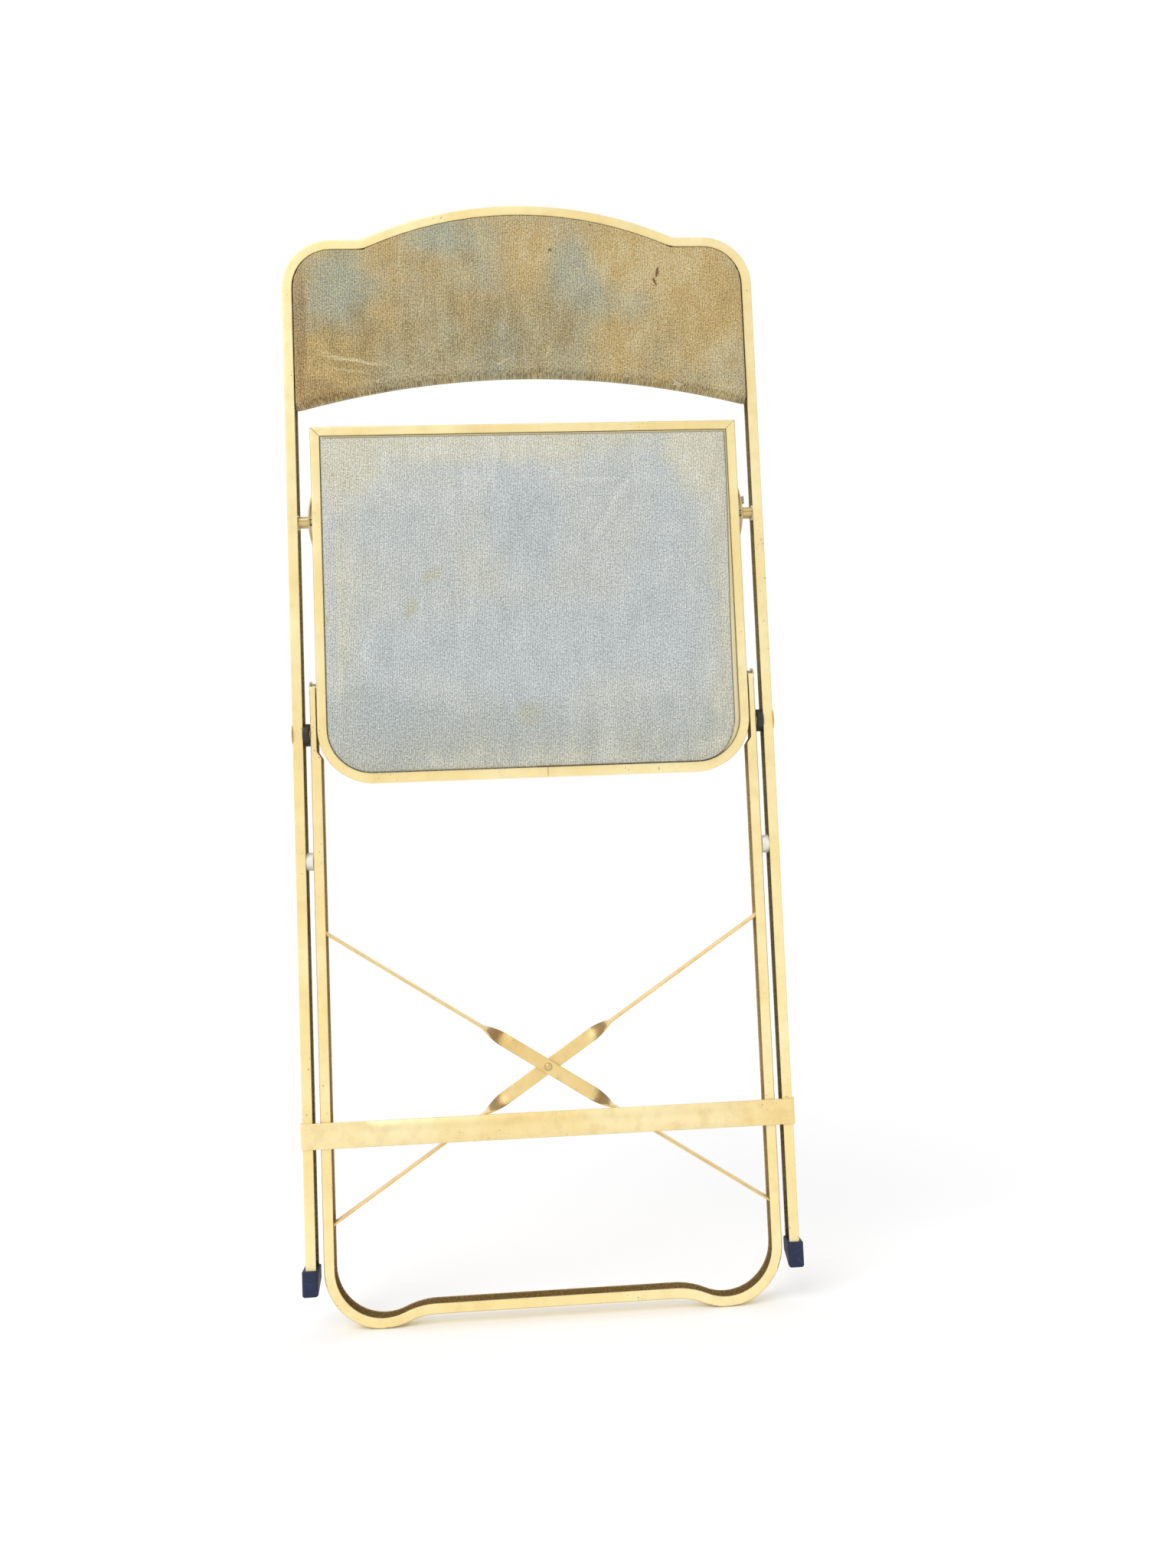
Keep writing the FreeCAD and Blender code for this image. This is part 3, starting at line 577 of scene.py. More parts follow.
# ---------------------------------------------------------------- geometry nodes
@dataclass
class NodeMesh:
    """A Geometry Nodes tree with named inputs, run once on an object."""

    name: str
    inputs: dict[str, tuple[str, object]]
    tree: bpy.types.NodeTree = field(init=False)
    source: bpy.types.Node = field(init=False)

    def __post_init__(self) -> None:
        """Start the tree with its geometry and its named inputs."""
        self.tree = bpy.data.node_groups.new(self.name, "GeometryNodeTree")
        face = self.tree.interface
        face.new_socket("Geometry", in_out="INPUT", socket_type="NodeSocketGeometry")
        for label, (kind, _) in self.inputs.items():
            face.new_socket(label, in_out="INPUT", socket_type=kind)
        face.new_socket("Geometry", in_out="OUTPUT", socket_type="NodeSocketGeometry")
        self.source = add_node(self.tree, "NodeGroupInput")

    def add(self, kind: str, inputs: dict | None = None, **settings) -> bpy.types.Node:
        """Add a node to the tree."""
        return add_node(self.tree, kind, inputs, **settings)

    def math(self, operation: str, *values) -> bpy.types.NodeSocket:
        """Math node on sockets or numbers."""
        return self.add("ShaderNodeMath", dict(enumerate(values)), operation=operation).outputs[0]

    def run(self, carrier: bpy.types.Object, result: bpy.types.NodeSocket,
            material: bpy.types.Material) -> None:
        """Close the tree, run it on the carrier and keep the plain mesh.

        Args:
            carrier: the object that the tree works on, which becomes the piece.
            result: the geometry to end with.
            material: the finish that every face gets.
        """
        real = self.add("GeometryNodeRealizeInstances", {"Geometry": result})
        dressed = self.add("GeometryNodeSetMaterial", {"Geometry": real.outputs[0], "Material": material})
        self.add("NodeGroupOutput", {0: dressed.outputs[0]})
        modifier = carrier.modifiers.new(self.name, "NODES")
        modifier.node_group = self.tree
        for item in self.tree.interface.items_tree:
            if item.in_out == "INPUT" and item.name in self.inputs:
                modifier[item.identifier] = self.inputs[item.name][1]
        settle(carrier)


def raise_ribs(cover: bpy.types.Object, pitch: float, height: float, material: bpy.types.Material) -> None:
    """Raise the velvet's ribs out of a cover that holds its own width in the attribute "across".

    Args:
        cover: the cover's mesh object.
        pitch: distance from rib to rib.
        height: height of a rib.
        material: the cover's finish.
    """
    ribs = NodeMesh("ribs", {"Pitch": ("NodeSocketFloat", pitch), "Height": ("NodeSocketFloat", height)})
    across = ribs.add("GeometryNodeInputNamedAttribute", {"Name": "across"}, data_type="FLOAT").outputs[0]
    turns = ribs.math("DIVIDE", across, ribs.source.outputs["Pitch"])
    wave = ribs.math("COSINE", ribs.math("MULTIPLY", turns, 2 * math.pi))
    ridge = ribs.math("MULTIPLY_ADD", wave, 0.5, 0.5)
    lift = ribs.math("MULTIPLY", ribs.math("SUBTRACT", ridge, 0.5), ribs.source.outputs["Height"])
    kept = ribs.add("GeometryNodeStoreNamedAttribute",
                    {"Geometry": ribs.source.outputs["Geometry"], "Name": "ridge", "Value": ridge},
                    data_type="FLOAT", domain="POINT").outputs[0]
    normal = ribs.add("GeometryNodeInputNormal").outputs[0]
    offset = ribs.add("ShaderNodeVectorMath", {0: normal, "Scale": lift}, operation="SCALE").outputs[0]
    moved = ribs.add("GeometryNodeSetPosition", {"Geometry": kept, "Offset": offset}).outputs[0]
    ribs.run(cover, moved, material)


def grow_fibres(carrier: bpy.types.Object, length: float, thick: float, seed: int,
                material: bpy.types.Material) -> None:
    """Grow short loose fibres from every point of a carrier.

    Args:
        carrier: an object whose mesh is a run of points.
        length: length of the longest fibre.
        thick: radius of a fibre at its root.
        seed: seed of the random turns and lengths.
        material: the fibres' finish.
    """
    fuzz = NodeMesh("fibres", {"Length": ("NodeSocketFloat", length), "Radius": ("NodeSocketFloat", thick),
                               "Seed": ("NodeSocketInt", seed)})
    fibre = fuzz.add("GeometryNodeMeshCone", {"Vertices": 4, "Radius Top": thick * 0.25,
                                              "Radius Bottom": fuzz.source.outputs["Radius"],
                                              "Depth": fuzz.source.outputs["Length"]}).outputs["Mesh"]
    turn = fuzz.add("FunctionNodeRandomValue", {0: (-math.pi,) * 3, 1: (math.pi,) * 3,
                                                "Seed": fuzz.source.outputs["Seed"]}, data_type="FLOAT_VECTOR")
    size = fuzz.add("FunctionNodeRandomValue", {2: 0.35, 3: 1.0, "Seed": fuzz.source.outputs["Seed"]},
                    data_type="FLOAT")
    placed = fuzz.add("GeometryNodeInstanceOnPoints",
                      {"Points": fuzz.source.outputs["Geometry"], "Instance": fibre,
                       "Rotation": turn.outputs[0], "Scale": size.outputs[1]}).outputs[0]
    fuzz.run(carrier, placed, material)


# ---------------------------------------------------------------- padded covers
@dataclass
class PaddedCover:
    """A ribbed cover over padding, held in a channel round it: its front sheet, its rear and the tucked
    edge between them. The swell of the front sheet comes from a cloth simulation."""

    name: str
    node: str
    slot: str
    body: str
    finish: RibbedVelvet
    half_width: float             # of the tucked edge
    lip: float                    # inset where the channel's flange ends
    front: float                  # height of the padded face over the mid-plane
    tucked_n: float = 6.2 * MM
    rib: float = 1.5 * MM
    rib_height: float = 0.28 * MM
    samples: int = 3              # columns for each rib
    fill: float = 0.8
    swell_cap: float = 2.5 * MM
    pressure: float = 4.0
    stiffness: float = 12.0
    bending: float = 3.0
    slack: float = 0.012          # share by which the cover is larger than what it covers
    cell: float = 8 * MM          # of the simulated sheet
    frames: int = 20
    ripples: float = 22.0         # soft unevenness of the padding, in ripples to the metre
    wander: float = 0.45 * MM     # how far a rib strays sideways
    wander_step: int = 12         # columns from one sample of that to the next
    stains: tuple[Mark, ...] = ()
    creases: tuple[Mark, ...] = ()
    warmth: tuple[Mark, ...] = ()
    shade: tuple[Mark, ...] = ()
    near: tuple[float, ...] = (0, 2, 4, 5.5, 6.6, 7.3, 7.9, 8.6, 9.4, 10.6, 12.4, 15, 19, 25)    # rows, mm
    middle_rows: int = 28

    def low(self, xs: np.ndarray) -> np.ndarray:
        """Lower edge of the tucked cover."""
        raise NotImplementedError

    def high(self, xs: np.ndarray) -> np.ndarray:
        """Upper edge of the tucked cover."""
        raise NotImplementedError

    def inset(self, xs: np.ndarray, ss: np.ndarray) -> np.ndarray:
        """Distance in from the channel's outline."""
        raise NotImplementedError

    def free(self, xs: np.ndarray, ss: np.ndarray) -> np.ndarray:
        """Distance from a free, rolled edge; far away where there is none."""
        return np.full_like(xs, 1.0)

    def edging(self, xs: np.ndarray, ss: np.ndarray) -> dict[str, np.ndarray]:
        """The cover's edging and the groove beside it, each 0 to 1."""
        return {"edging": np.zeros_like(xs), "groove": np.zeros_like(xs)}

    def rows(self, xs: np.ndarray) -> np.ndarray:
        """Heights s of every row, dense near both edges."""
        low, high = self.low(xs), self.high(xs)
        near = np.array(self.near)[:, None] * MM
        t = np.linspace(0, 1, self.middle_rows + 2)[1:-1, None]
        start, end = low + near[-1], high - near[-1]
        return np.vstack([low + near, start + (end - start) * t, (high - near)[::-1]])

    def face(self, xs: np.ndarray, ss: np.ndarray) -> np.ndarray:
        """Height n of the front sheet before it swells."""
        raise NotImplementedError

    def swell(self, xs: np.ndarray, ss: np.ndarray) -> np.ndarray:
        """Simulated swell of the front sheet, read at each point.

        Args:
            xs: widths, one for each column.
            ss: heights, rows by columns.

        Returns:
            The swell, rows by columns.
        """
        across = max(8, round(2 * self.half_width / self.cell))
        cx = np.linspace(-self.half_width, self.half_width, across)
        low, high = self.low(cx), self.high(cx)
        tall = max(6, round(float((high - low).max()) / self.cell))
        v = np.linspace(0, 1, tall)[:, None]
        cs = low + (high - low) * v
        grid = np.broadcast_to(cx, cs.shape)
        held = (self.inset(grid, cs) < self.lip + 3 * MM) | (self.free(grid, cs) < 5 * MM)
        puff = self.simulate(grid, cs, held)
        ripple = np.array([[noise.noise((x * self.ripples, s * self.ripples, self.front * 900))
                            for x, s in zip(gx, gs)] for gx, gs in zip(grid, cs)])
        calm = smooth(self.inset(grid, cs) / (40 * MM) - 0.25)
        puff = puff + ripple * calm * 0.5 * MM
        share = (ss - self.low(xs)) / (self.high(xs) - self.low(xs)) * (tall - 1)
        column = (xs + self.half_width) / (2 * self.half_width) * (across - 1)
        column = np.broadcast_to(column, ss.shape)
        i, j = np.clip(column.astype(int), 0, across - 2), np.clip(share.astype(int), 0, tall - 2)
        a, b = smooth(column - i), smooth(share - j)
        return ((puff[j, i] * (1 - a) + puff[j, i + 1] * a) * (1 - b)
                + (puff[j + 1, i] * (1 - a) + puff[j + 1, i + 1] * a) * b)

    def simulate(self, xs: np.ndarray, ss: np.ndarray, held: np.ndarray) -> np.ndarray:
        """Blow the padding up under its cover as cloth, pinned where the channel holds it.

        Args:
            xs: widths of the sheet's grid.
            ss: heights of the sheet's grid.
            held: which grid points are pinned.

        Returns:
            How far each grid point rises, capped.
        """
        tall, across = xs.shape
        start = self.face(xs, ss)
        points = np.stack([xs, ss, start], -1).reshape(-1, 3)
        faces = [(j * across + i, j * across + i + 1, (j + 1) * across + i + 1, (j + 1) * across + i)
                 for j in range(tall - 1) for i in range(across - 1)]
        sheet = link_mesh(self.name + "_sheet", points.tolist(), [], faces)
        group = sheet.vertex_groups.new(name="held")
        group.add(np.flatnonzero(held).tolist(), 1.0, "REPLACE")
        cloth = sheet.modifiers.new("cloth", "CLOTH").settings
        cloth.vertex_group_mass = "held"
        cloth.quality, cloth.mass = 6, 0.3
        cloth.tension_stiffness = cloth.compression_stiffness = self.stiffness
        cloth.bending_stiffness = self.bending
        cloth.use_pressure, cloth.uniform_pressure_force = True, self.pressure
        cloth.shrink_min = -self.slack
        cloth.effector_weights.gravity = 0
        scene = bpy.context.scene
        for number in range(1, self.frames + 1):
            scene.frame_set(number)
        done = sheet.evaluated_get(bpy.context.evaluated_depsgraph_get()).data
        rise = np.array([v.co.z for v in done.vertices]).reshape(tall, across) - start
        scene.frame_set(1)
        bpy.data.objects.remove(sheet)
        return np.clip(rise, -0.5 * MM, self.swell_cap)

    def rear(self, xs: np.ndarray, ss: np.ndarray) -> np.ndarray:
        """Height n of the rear sheet."""
        raise NotImplementedError

    def build(self) -> bpy.types.Object:
        """Build the cover, raise its ribs and put it on its body."""
        count = round(2 * self.half_width / self.rib) * self.samples + 1
        across = np.linspace(-self.half_width, self.half_width, count)
        ss = self.rows(across)
        xs = np.broadcast_to(across, ss.shape)
        inset, free = self.inset(xs, ss), self.free(xs, ss)
        coarse, step = across[::self.wander_step], self.wander_step
        shift = np.array([noise.noise((x * 9, s * 5, 3.7)) for x, s in
                          zip(np.repeat(coarse, len(ss)), ss[:, ::step].T.ravel())])
        shift = shift.reshape(-1, len(ss)).T
        spread = np.array([np.interp(across, coarse, row) for row in shift])
        calm = smooth(inset / (25 * MM) - 0.4)
        bent = xs + spread * self.wander * calm
        front = self.face(xs, ss) + self.swell(across, ss) * smooth((inset - self.lip) / (6 * MM))
        sheets = [np.stack([bent, front, ss], -1), np.stack([bent, self.rear(xs, ss), ss], -1)]
        points = np.concatenate([sheet.reshape(-1, 3) for sheet in sheets])
        cover = link_mesh(self.name, points.tolist(), [], self.faces(*xs.shape))
        mesh = cover.data
        total = {label: sum((m.amount(xs, ss) for m in group), np.zeros_like(xs)) for label, group in
                 (("warmth", self.warmth), ("shade", self.shade))}
        both = {"across": xs, "rim": np.maximum(inset - self.lip, 0), "hem": 1 - smooth(free / (3.5 * MM))}
        for label, values in both.items():
            mark_points(mesh, label, np.concatenate([values.ravel()] * 2))
        for label, values in {"fore": np.ones_like(xs), **total, **self.edging(xs, ss)}.items():
            mark_points(mesh, label, np.concatenate([values.ravel(), np.zeros(xs.size)]))
        uv = mesh.uv_layers.new(name="cloth")
        flat = np.concatenate([np.stack([xs, ss], -1).reshape(-1, 2)] * 2)
        corners = np.empty(len(mesh.loops), np.int32)
        mesh.loops.foreach_get("vertex_index", corners)
        uv.data.foreach_set("uv", flat[corners].astype(np.float32).ravel())
        mesh.transform(BENCH.matrix())
        weld = bmesh.new()
        weld.from_mesh(mesh)
        bmesh.ops.remove_doubles(weld, verts=weld.verts, dist=0.02 * MM)
        weld.to_mesh(mesh)
        weld.free()
        mesh.polygons.foreach_set("use_smooth", [True] * len(mesh.polygons))
        mesh.update()
        raise_ribs(cover, self.rib, self.rib_height, self.finish.build(self.stains, self.creases))
        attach(cover, self.body)
        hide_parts(self.node)
        LOG.info("%s: %d faces", self.name, len(cover.data.polygons))
        return cover

    @staticmethod
    def faces(tall: int, across: int) -> list[tuple[int, ...]]:
        """Quads of both sheets and of the wall between their edges."""
        size = tall * across
        quads = []
        for j in range(tall - 1):
            row = j * across
            for i in range(row, row + across - 1):
                quads.append((i, i + 1, i + 1 + across, i + across))
                quads.append((size + i + across, size + i + 1 + across, size + i + 1, size + i))
        ring = list(range(across)) + [j * across + across - 1 for j in range(1, tall)]
        ring += [(tall - 1) * across + i for i in range(across - 2, -1, -1)]
        ring += [j * across for j in range(tall - 2, 0, -1)]
        for a, b in zip(ring, ring[1:] + ring[:1]):
            quads.append((b, a, size + a, size + b))
        return quads


@dataclass
class BackPadding(PaddedCover):
    """The back's padding: square shoulders, a low crown and a free arched edge, rolled round the board."""

    half: float = 203 * MM
    tuck: float = 1.6 * MM
    shoulder_s: float = 884.5 * MM
    shoulder_r: float = 42 * MM
    crown_s: float = 589 * MM
    crown_r: float = 325 * MM
    neck_r: float = 20 * MM
    arch_r: float = 737 * MM
    arch_top: float = 763.4 * MM
    rear_n: float = 9.4 * MM
    roll: float = 4.6 * MM        # how far in the rolled edge starts to close
    roll_n: float = 1.8 * MM      # middle of the rolled edge

    @property
    def neck_x(self) -> float:
        """Where the hollow between crown and shoulder starts."""
        rise = self.shoulder_s + self.neck_r - self.crown_s
        return math.sqrt((self.crown_r + self.neck_r) ** 2 - rise ** 2)

    def high(self, xs: np.ndarray) -> np.ndarray:
        """Upper edge, tucked behind the crown and shoulders."""
        wide, i = np.abs(xs), self.tuck
        corner_x, corner_s = self.half - self.shoulder_r, self.shoulder_s - self.shoulder_r
        meet = self.neck_x * self.crown_r / (self.crown_r + self.neck_r)
        crown = self.crown_s + np.sqrt(np.maximum((self.crown_r - i) ** 2 - wide ** 2, 0))
        fall = (self.neck_r + i) ** 2 - np.clip(self.neck_x - wide, 0, None) ** 2
        neck = self.shoulder_s + self.neck_r - np.sqrt(np.maximum(fall, 0))
        round_off = (self.shoulder_r - i) ** 2 - np.clip(wide - corner_x, 0, None) ** 2
        corner = corner_s + np.sqrt(np.maximum(round_off, 0))
        return np.where(wide < meet, crown, np.where(wide < self.neck_x, neck,
                        np.where(wide < corner_x, self.shoulder_s - i, corner)))

    def low(self, xs: np.ndarray) -> np.ndarray:
        """The arched lower edge."""
        return self.arch_top - self.arch_r + np.sqrt(self.arch_r ** 2 - xs ** 2)

    def inset(self, xs: np.ndarray, ss: np.ndarray) -> np.ndarray:
        """Distance in from the outer frame's outline."""
        wide = np.abs(xs)
        corner_x, corner_s = self.half - self.shoulder_r, self.shoulder_s - self.shoulder_r
        crown = self.crown_r - np.hypot(xs, ss - self.crown_s)
        top = np.where(wide < self.neck_x, np.maximum(crown, self.shoulder_s - ss), self.shoulder_s - ss)
        corner = self.shoulder_r - np.hypot(wide - corner_x, ss - corner_s)
        inside = np.minimum(self.half - wide, top)
        return np.where((wide > corner_x) & (ss > corner_s), np.minimum(inside, corner), inside)

    def free(self, xs: np.ndarray, ss: np.ndarray) -> np.ndarray:
        """Distance up from the arched edge."""
        return np.hypot(xs, ss - (self.arch_top - self.arch_r)) - self.arch_r

    def rolled(self, height: np.ndarray, xs: np.ndarray, ss: np.ndarray) -> np.ndarray:
        """A sheet's height, drawn in to the middle of the rolled edge."""
        return self.roll_n + (height - self.roll_n) * ease(self.free(xs, ss) / self.roll)

    def face(self, xs: np.ndarray, ss: np.ndarray) -> np.ndarray:
        """Front sheet: tucked behind the flange, then full at once and nearly flat."""
        out = self.inset(xs, ss) - self.lip - 0.5 * MM
        rise = 0.66 * ease(out / (2.2 * MM)) + 0.34 * ease(out / (24 * MM))
        return self.rolled(self.tucked_n + (self.front - self.tucked_n) * rise, xs, ss)

    def rear(self, xs: np.ndarray, ss: np.ndarray) -> np.ndarray:
        """Rear sheet, drawn flat over the board."""
        out = self.inset(xs, ss) - self.lip
        return self.rolled(-self.tucked_n - (self.rear_n - self.tucked_n) * ease(out / (7 * MM)), xs, ss)


@dataclass
class SeatPadding(PaddedCover):
    """The seat's padding: round front corners, square rear corners, crowned over its board."""

    half: float = 182.6 * MM
    front_s: float = 415.8 * MM
    rear_s: float = 720.5 * MM
    corner_r: float = 46 * MM
    tuck: float = 1.7 * MM
    under_n: float = -1.3 * MM

    def low(self, xs: np.ndarray) -> np.ndarray:
        """Front edge, tucked behind the rim."""
        wide = np.abs(xs)
        fall = (self.corner_r - self.tuck) ** 2 - np.clip(wide - (self.half - self.corner_r), 0, None) ** 2
        return self.front_s + self.corner_r - np.sqrt(np.maximum(fall, 0))

    def high(self, xs: np.ndarray) -> np.ndarray:
        """Rear edge, tucked behind the rim."""
        return np.full_like(xs, self.rear_s - self.tuck)

    def inset(self, xs: np.ndarray, ss: np.ndarray) -> np.ndarray:
        """Distance in from the rim's outline."""
        wide = np.abs(xs)
        corner_x, corner_s = self.half - self.corner_r, self.front_s + self.corner_r
        corner = self.corner_r - np.hypot(wide - corner_x, corner_s - ss)
        inside = np.minimum(np.minimum(self.half - wide, self.rear_s - ss), ss - self.front_s)
        return np.where((wide > corner_x) & (ss < corner_s), np.minimum(inside, corner), inside)

    def face(self, xs: np.ndarray, ss: np.ndarray) -> np.ndarray:
        """Front sheet: tucked behind the rim, then rising in a long soft crown."""
        out = self.inset(xs, ss) - self.lip - 0.3 * MM
        rise = 0.42 * ease(out / (4.5 * MM)) + 0.58 * ease(out / (75 * MM))
        return self.tucked_n + (self.front - self.tucked_n) * rise - 0.5 * MM * self.edging(xs, ss)["groove"]

    def edging(self, xs: np.ndarray, ss: np.ndarray) -> dict[str, np.ndarray]:
        """A cream edging that shows along the rear, and on the right where the ribbed cover has drawn in."""
        out = self.inset(xs, ss) - self.lip
        beside = (xs > 0) & (self.half - xs < self.rear_s - ss)
        behind = (self.half - np.abs(xs) > self.rear_s - ss)
        drawn = 2.0 * MM + 3.0 * MM * smooth((self.rear_s - 30 * MM - ss) / (190 * MM))
        drawn = drawn * smooth((ss - self.front_s - 8 * MM) / (30 * MM))
        width = np.where(beside, drawn, np.where(behind, 2.4 * MM, 0))
        return {"edging": np.where(width > 0, smooth((width - out) / (0.5 * MM)), 0),
                "groove": np.where(width > 0, smooth(1.6 - np.abs(out - width) / (0.5 * MM)), 0)}

    def rear(self, xs: np.ndarray, ss: np.ndarray) -> np.ndarray:
        """Underside, flat on the board."""
        return np.full_like(xs, self.under_n)


# ---------------------------------------------------------------- small fabric details
@dataclass
class HemFuzz:
    """Loose pile that stands out of the back's rolled lower edge."""

    body: str = "outer_frame"
    slot: str = "back_velvet"
    colour: str = "#C4B68C"
    length: float = 1.7 * MM
    thick: float = 0.13 * MM
    spacing: float = 0.55 * MM
    half: float = 194 * MM
    arch_r: float = 737 * MM
    arch_top: float = 763.4 * MM
    roll_n: float = 1.8 * MM
    spread: float = 7.5 * MM      # how far the roots stray to the front and rear
    seed: int = 11

    def build(self) -> bpy.types.Object:
        """Grow the fibres along the arch."""
        points = []
        for k in range(round(2 * self.half / self.spacing) + 1):
            x = -self.half + k * self.spacing
            s = self.arch_top - self.arch_r + math.sqrt(self.arch_r ** 2 - x ** 2)
            n = self.roll_n + self.spread * noise.noise((k * 0.73, 0.0, 1.7))
            points.append(BENCH.point(x, s + 0.2 * MM, n))
        piece = link_mesh("back_hem_fuzz", points, [(k, k + 1) for k in range(len(points) - 1)], [])
        fluff = MouldedPlastic("loose_cotton_pile", self.colour, "#7C6F4C", 0.9)
        grow_fibres(piece, self.length, self.thick, self.seed, fluff.build())
        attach(piece, self.body)
        LOG.info("%s: %d faces", piece.name, len(piece.data.polygons))
        return piece


@dataclass(frozen=True)
class Pull:
    """One pulled thread: where it leaves the cover, how far it runs and how far it curls."""

    x: float
    s: float
    run: float
    curl: float
    phase: float


@dataclass
class PulledThreads:
    """White backing threads that have been pulled out of the velvet near its lower edge."""

    body: str = "outer_frame"
    slot: str = "back_velvet"
    thick: float = 0.2 * MM
    face: float = 12.9 * MM       # height of the cover's face over the mid-plane
    steps: int = 10
    pulls: tuple[Pull, ...] = (Pull(-120.9, 757.0, 8, 2.4, 0.4), Pull(-59.8, 760.7, 5, 1.4, 2.1),
                               Pull(31, 766.5, 6, 1.2, 1.2), Pull(89.0, 758.5, 5, 1.3, 0.9),
                               Pull(131.2, 751.7, 7, 3.0, 3.6), Pull(133.5, 750.6, 6, 2.2, 1.5))

    def build(self) -> bpy.types.Object:
        """Sweep each thread along a small curl."""
        curve = bpy.data.curves.new("pulled_threads", "CURVE")
        curve.dimensions, curve.bevel_depth, curve.bevel_resolution = "3D", self.thick, 2
        curve.use_fill_caps = True
        for pull in self.pulls:
            spline = curve.splines.new("NURBS")
            spline.points.add(self.steps)
            for k, point in enumerate(spline.points):
                t = k / self.steps
                x = pull.x + pull.run * (t - 0.5) + pull.curl * 0.9 * math.sin(13 * t + pull.phase)
                s = pull.s + pull.curl * math.cos(10 * t + 2 * pull.phase) * math.sin(math.pi * t)
                n = self.face + (1.5 * math.sin(math.pi * t) - 0.6) * MM
                point.co = (*BENCH.point(x * MM, s * MM, n), 1)
            spline.order_u = 3
            spline.use_endpoint_u = True
        thread = bpy.data.objects.new("pulled_threads", curve)
        bpy.context.scene.collection.objects.link(thread)
        mesh, name = settle(thread), thread.name
        bpy.data.objects.remove(thread)
        piece = bpy.data.objects.new(name, mesh)
        bpy.context.scene.collection.objects.link(piece)
        mesh.materials.clear()
        mesh.materials.append(MouldedPlastic("white_cotton_thread", "#E2DBC3", "#C2B78F", 0.9).build())
        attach(piece, self.body)
        LOG.info("%s: %d threads", piece.name, len(self.pulls))
        return piece


@dataclass
class FeltScrap:
    """A frayed scrap of grey felt washer that stands out over the right pin tube."""

    body: str = "seat"
    slot: str = "white_nylon"
    x: float = 185.9 * MM
    s: float = 650.6 * MM
    n: float = 3.0 * MM
    size: tuple[float, float, float] = (1.9 * MM, 3.4 * MM, 1.5 * MM)    # half sizes in x, s and n
    curl: float = 0.9 * MM        # how far its ends bend outwards

    def build(self) -> bpy.types.Object:
        """Ruffle a small rounded pad into a scrap."""
        pad = bmesh.new()
        bmesh.ops.create_icosphere(pad, subdivisions=4, radius=1.0)
        for vert in pad.verts:
            way = vert.co.normalized()
            rough = 1 + 0.32 * noise.noise(way * 1.9 + Vector((3.1, 0, 0))) + 0.12 * noise.noise(way * 7)
            vert.co = Vector((way.x * self.size[0], way.y * self.size[2], way.z * self.size[1])) * rough
            vert.co.x += self.curl * way.z * way.z
        placed = Matrix.Translation(BENCH.point(self.x, self.s, self.n)) @ BENCH.matrix().to_3x3().to_4x4()
        pad.transform(placed)
        bmesh.ops.recalc_face_normals(pad, faces=pad.faces)    # the bench frame mirrors
        mesh = bpy.data.meshes.new("pin_felt_scrap")
        pad.to_mesh(mesh)
        pad.free()
        mesh.polygons.foreach_set("use_smooth", [True] * len(mesh.polygons))
        piece = bpy.data.objects.new("pin_felt_scrap", mesh)
        bpy.context.scene.collection.objects.link(piece)
        mesh.materials.append(MouldedPlastic("grey_wool_felt", "#A29E8E", "#6D6A5E", 0.95, 0.8).build())
        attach(piece, self.body)
        LOG.info("%s: %d faces", piece.name, len(mesh.polygons))
        return piece


# ---------------------------------------------------------------- steel and plastic
@dataclass
class Hardware:
    """The CAD pieces whose shape is right as it is: channels, straps, rivets, spools, caps and boards.

    They are grouped by finish. The enamel is one paint in five copies, which differ by wear and by painted
    shade: the channels' copies hold dirt and painted shade inside, and the copies for the straps, pin plates,
    pin tubes and centre rivet are darker as painted shade."""

    def finishes(self) -> dict[bpy.types.Material, tuple[str, ...]]:
        """Each finish with the nodes that wear it; a pair's name stands for left and right."""
        enamel = BakedEnamel().build()
        bar = BakedEnamel(name="pale_gold_baked_enamel_bar", coat="#F2D792", light="#FBEBB8", tired="#D0AC64",
                          patch=0.13, soiled_and_shaded=False).build()
        # a darker, glossier copy: painted shade on the edge-on straps
        strap = BakedEnamel(name="pale_gold_baked_enamel_strap", coat="#E9C983", light="#F1D99A",
                            tired="#B8924C", metallic=0.5, gloss=0.4, twist_shading=0.75, soiled_and_shaded=False).build()
        # lighter dirt and painted shade inside the rear channel
        rear = BakedEnamel(name="pale_gold_baked_enamel_rear", grime_and_shade="#84683A").build()
        # a darker copy: painted shade on the pin plates, pin tubes and centre rivet, with some wear
        dull_shaded = BakedEnamel(name="pale_gold_baked_enamel_dull_shaded", coat="#D2B878", light="#DEC88E", tired="#A98F54",
                           soiled_and_shaded=False).build()
        steel, board = PlatedSteel().build(), PressedBoard().build()
        vinyl = MouldedPlastic("moulded_navy_vinyl", "#0E1A3D", "#2C4274", 0.55).build()
        nylon = MouldedPlastic("moulded_white_nylon", "#E9E6DC", "#BDB49C", 0.42, 0.35).build()
        black = MouldedPlastic("moulded_black_nylon", "#26231D", "#4A4436", 0.5).build()
        return {enamel: ("outer_channel", "seat_rim"), rear: ("rear_channel",),
                dull_shaded: ("pin_plate", "brace_centre_rivet", "pin_tube"), bar: ("front_crossbar", "stop_rivet"),
                strap: ("brace_strap_front", "brace_strap_rear"),
                steel: ("crossing_rivet", "brace_end_rivets", "seat_pivot_rivet", "seat_pivot_spacer",
                        "seat_pin"),
                board: ("back_board", "seat_board"), vinyl: ("foot_cap",),
                nylon: ("crossing_spacer", "guide_bush"), black: ("stop_sleeve",)}

    def build(self) -> None:
        """Dress every node."""
        for material, names in self.finishes().items():
            for name in names:
                for node in (name, name + "_left", name + "_right"):
                    if node in frame["nodes"]:
                        mesh = frame["nodes"][node].data
                        mesh.materials.clear()
                        mesh.materials.append(material)
                        LOG.info("%s dressed in %s", node, material.name)


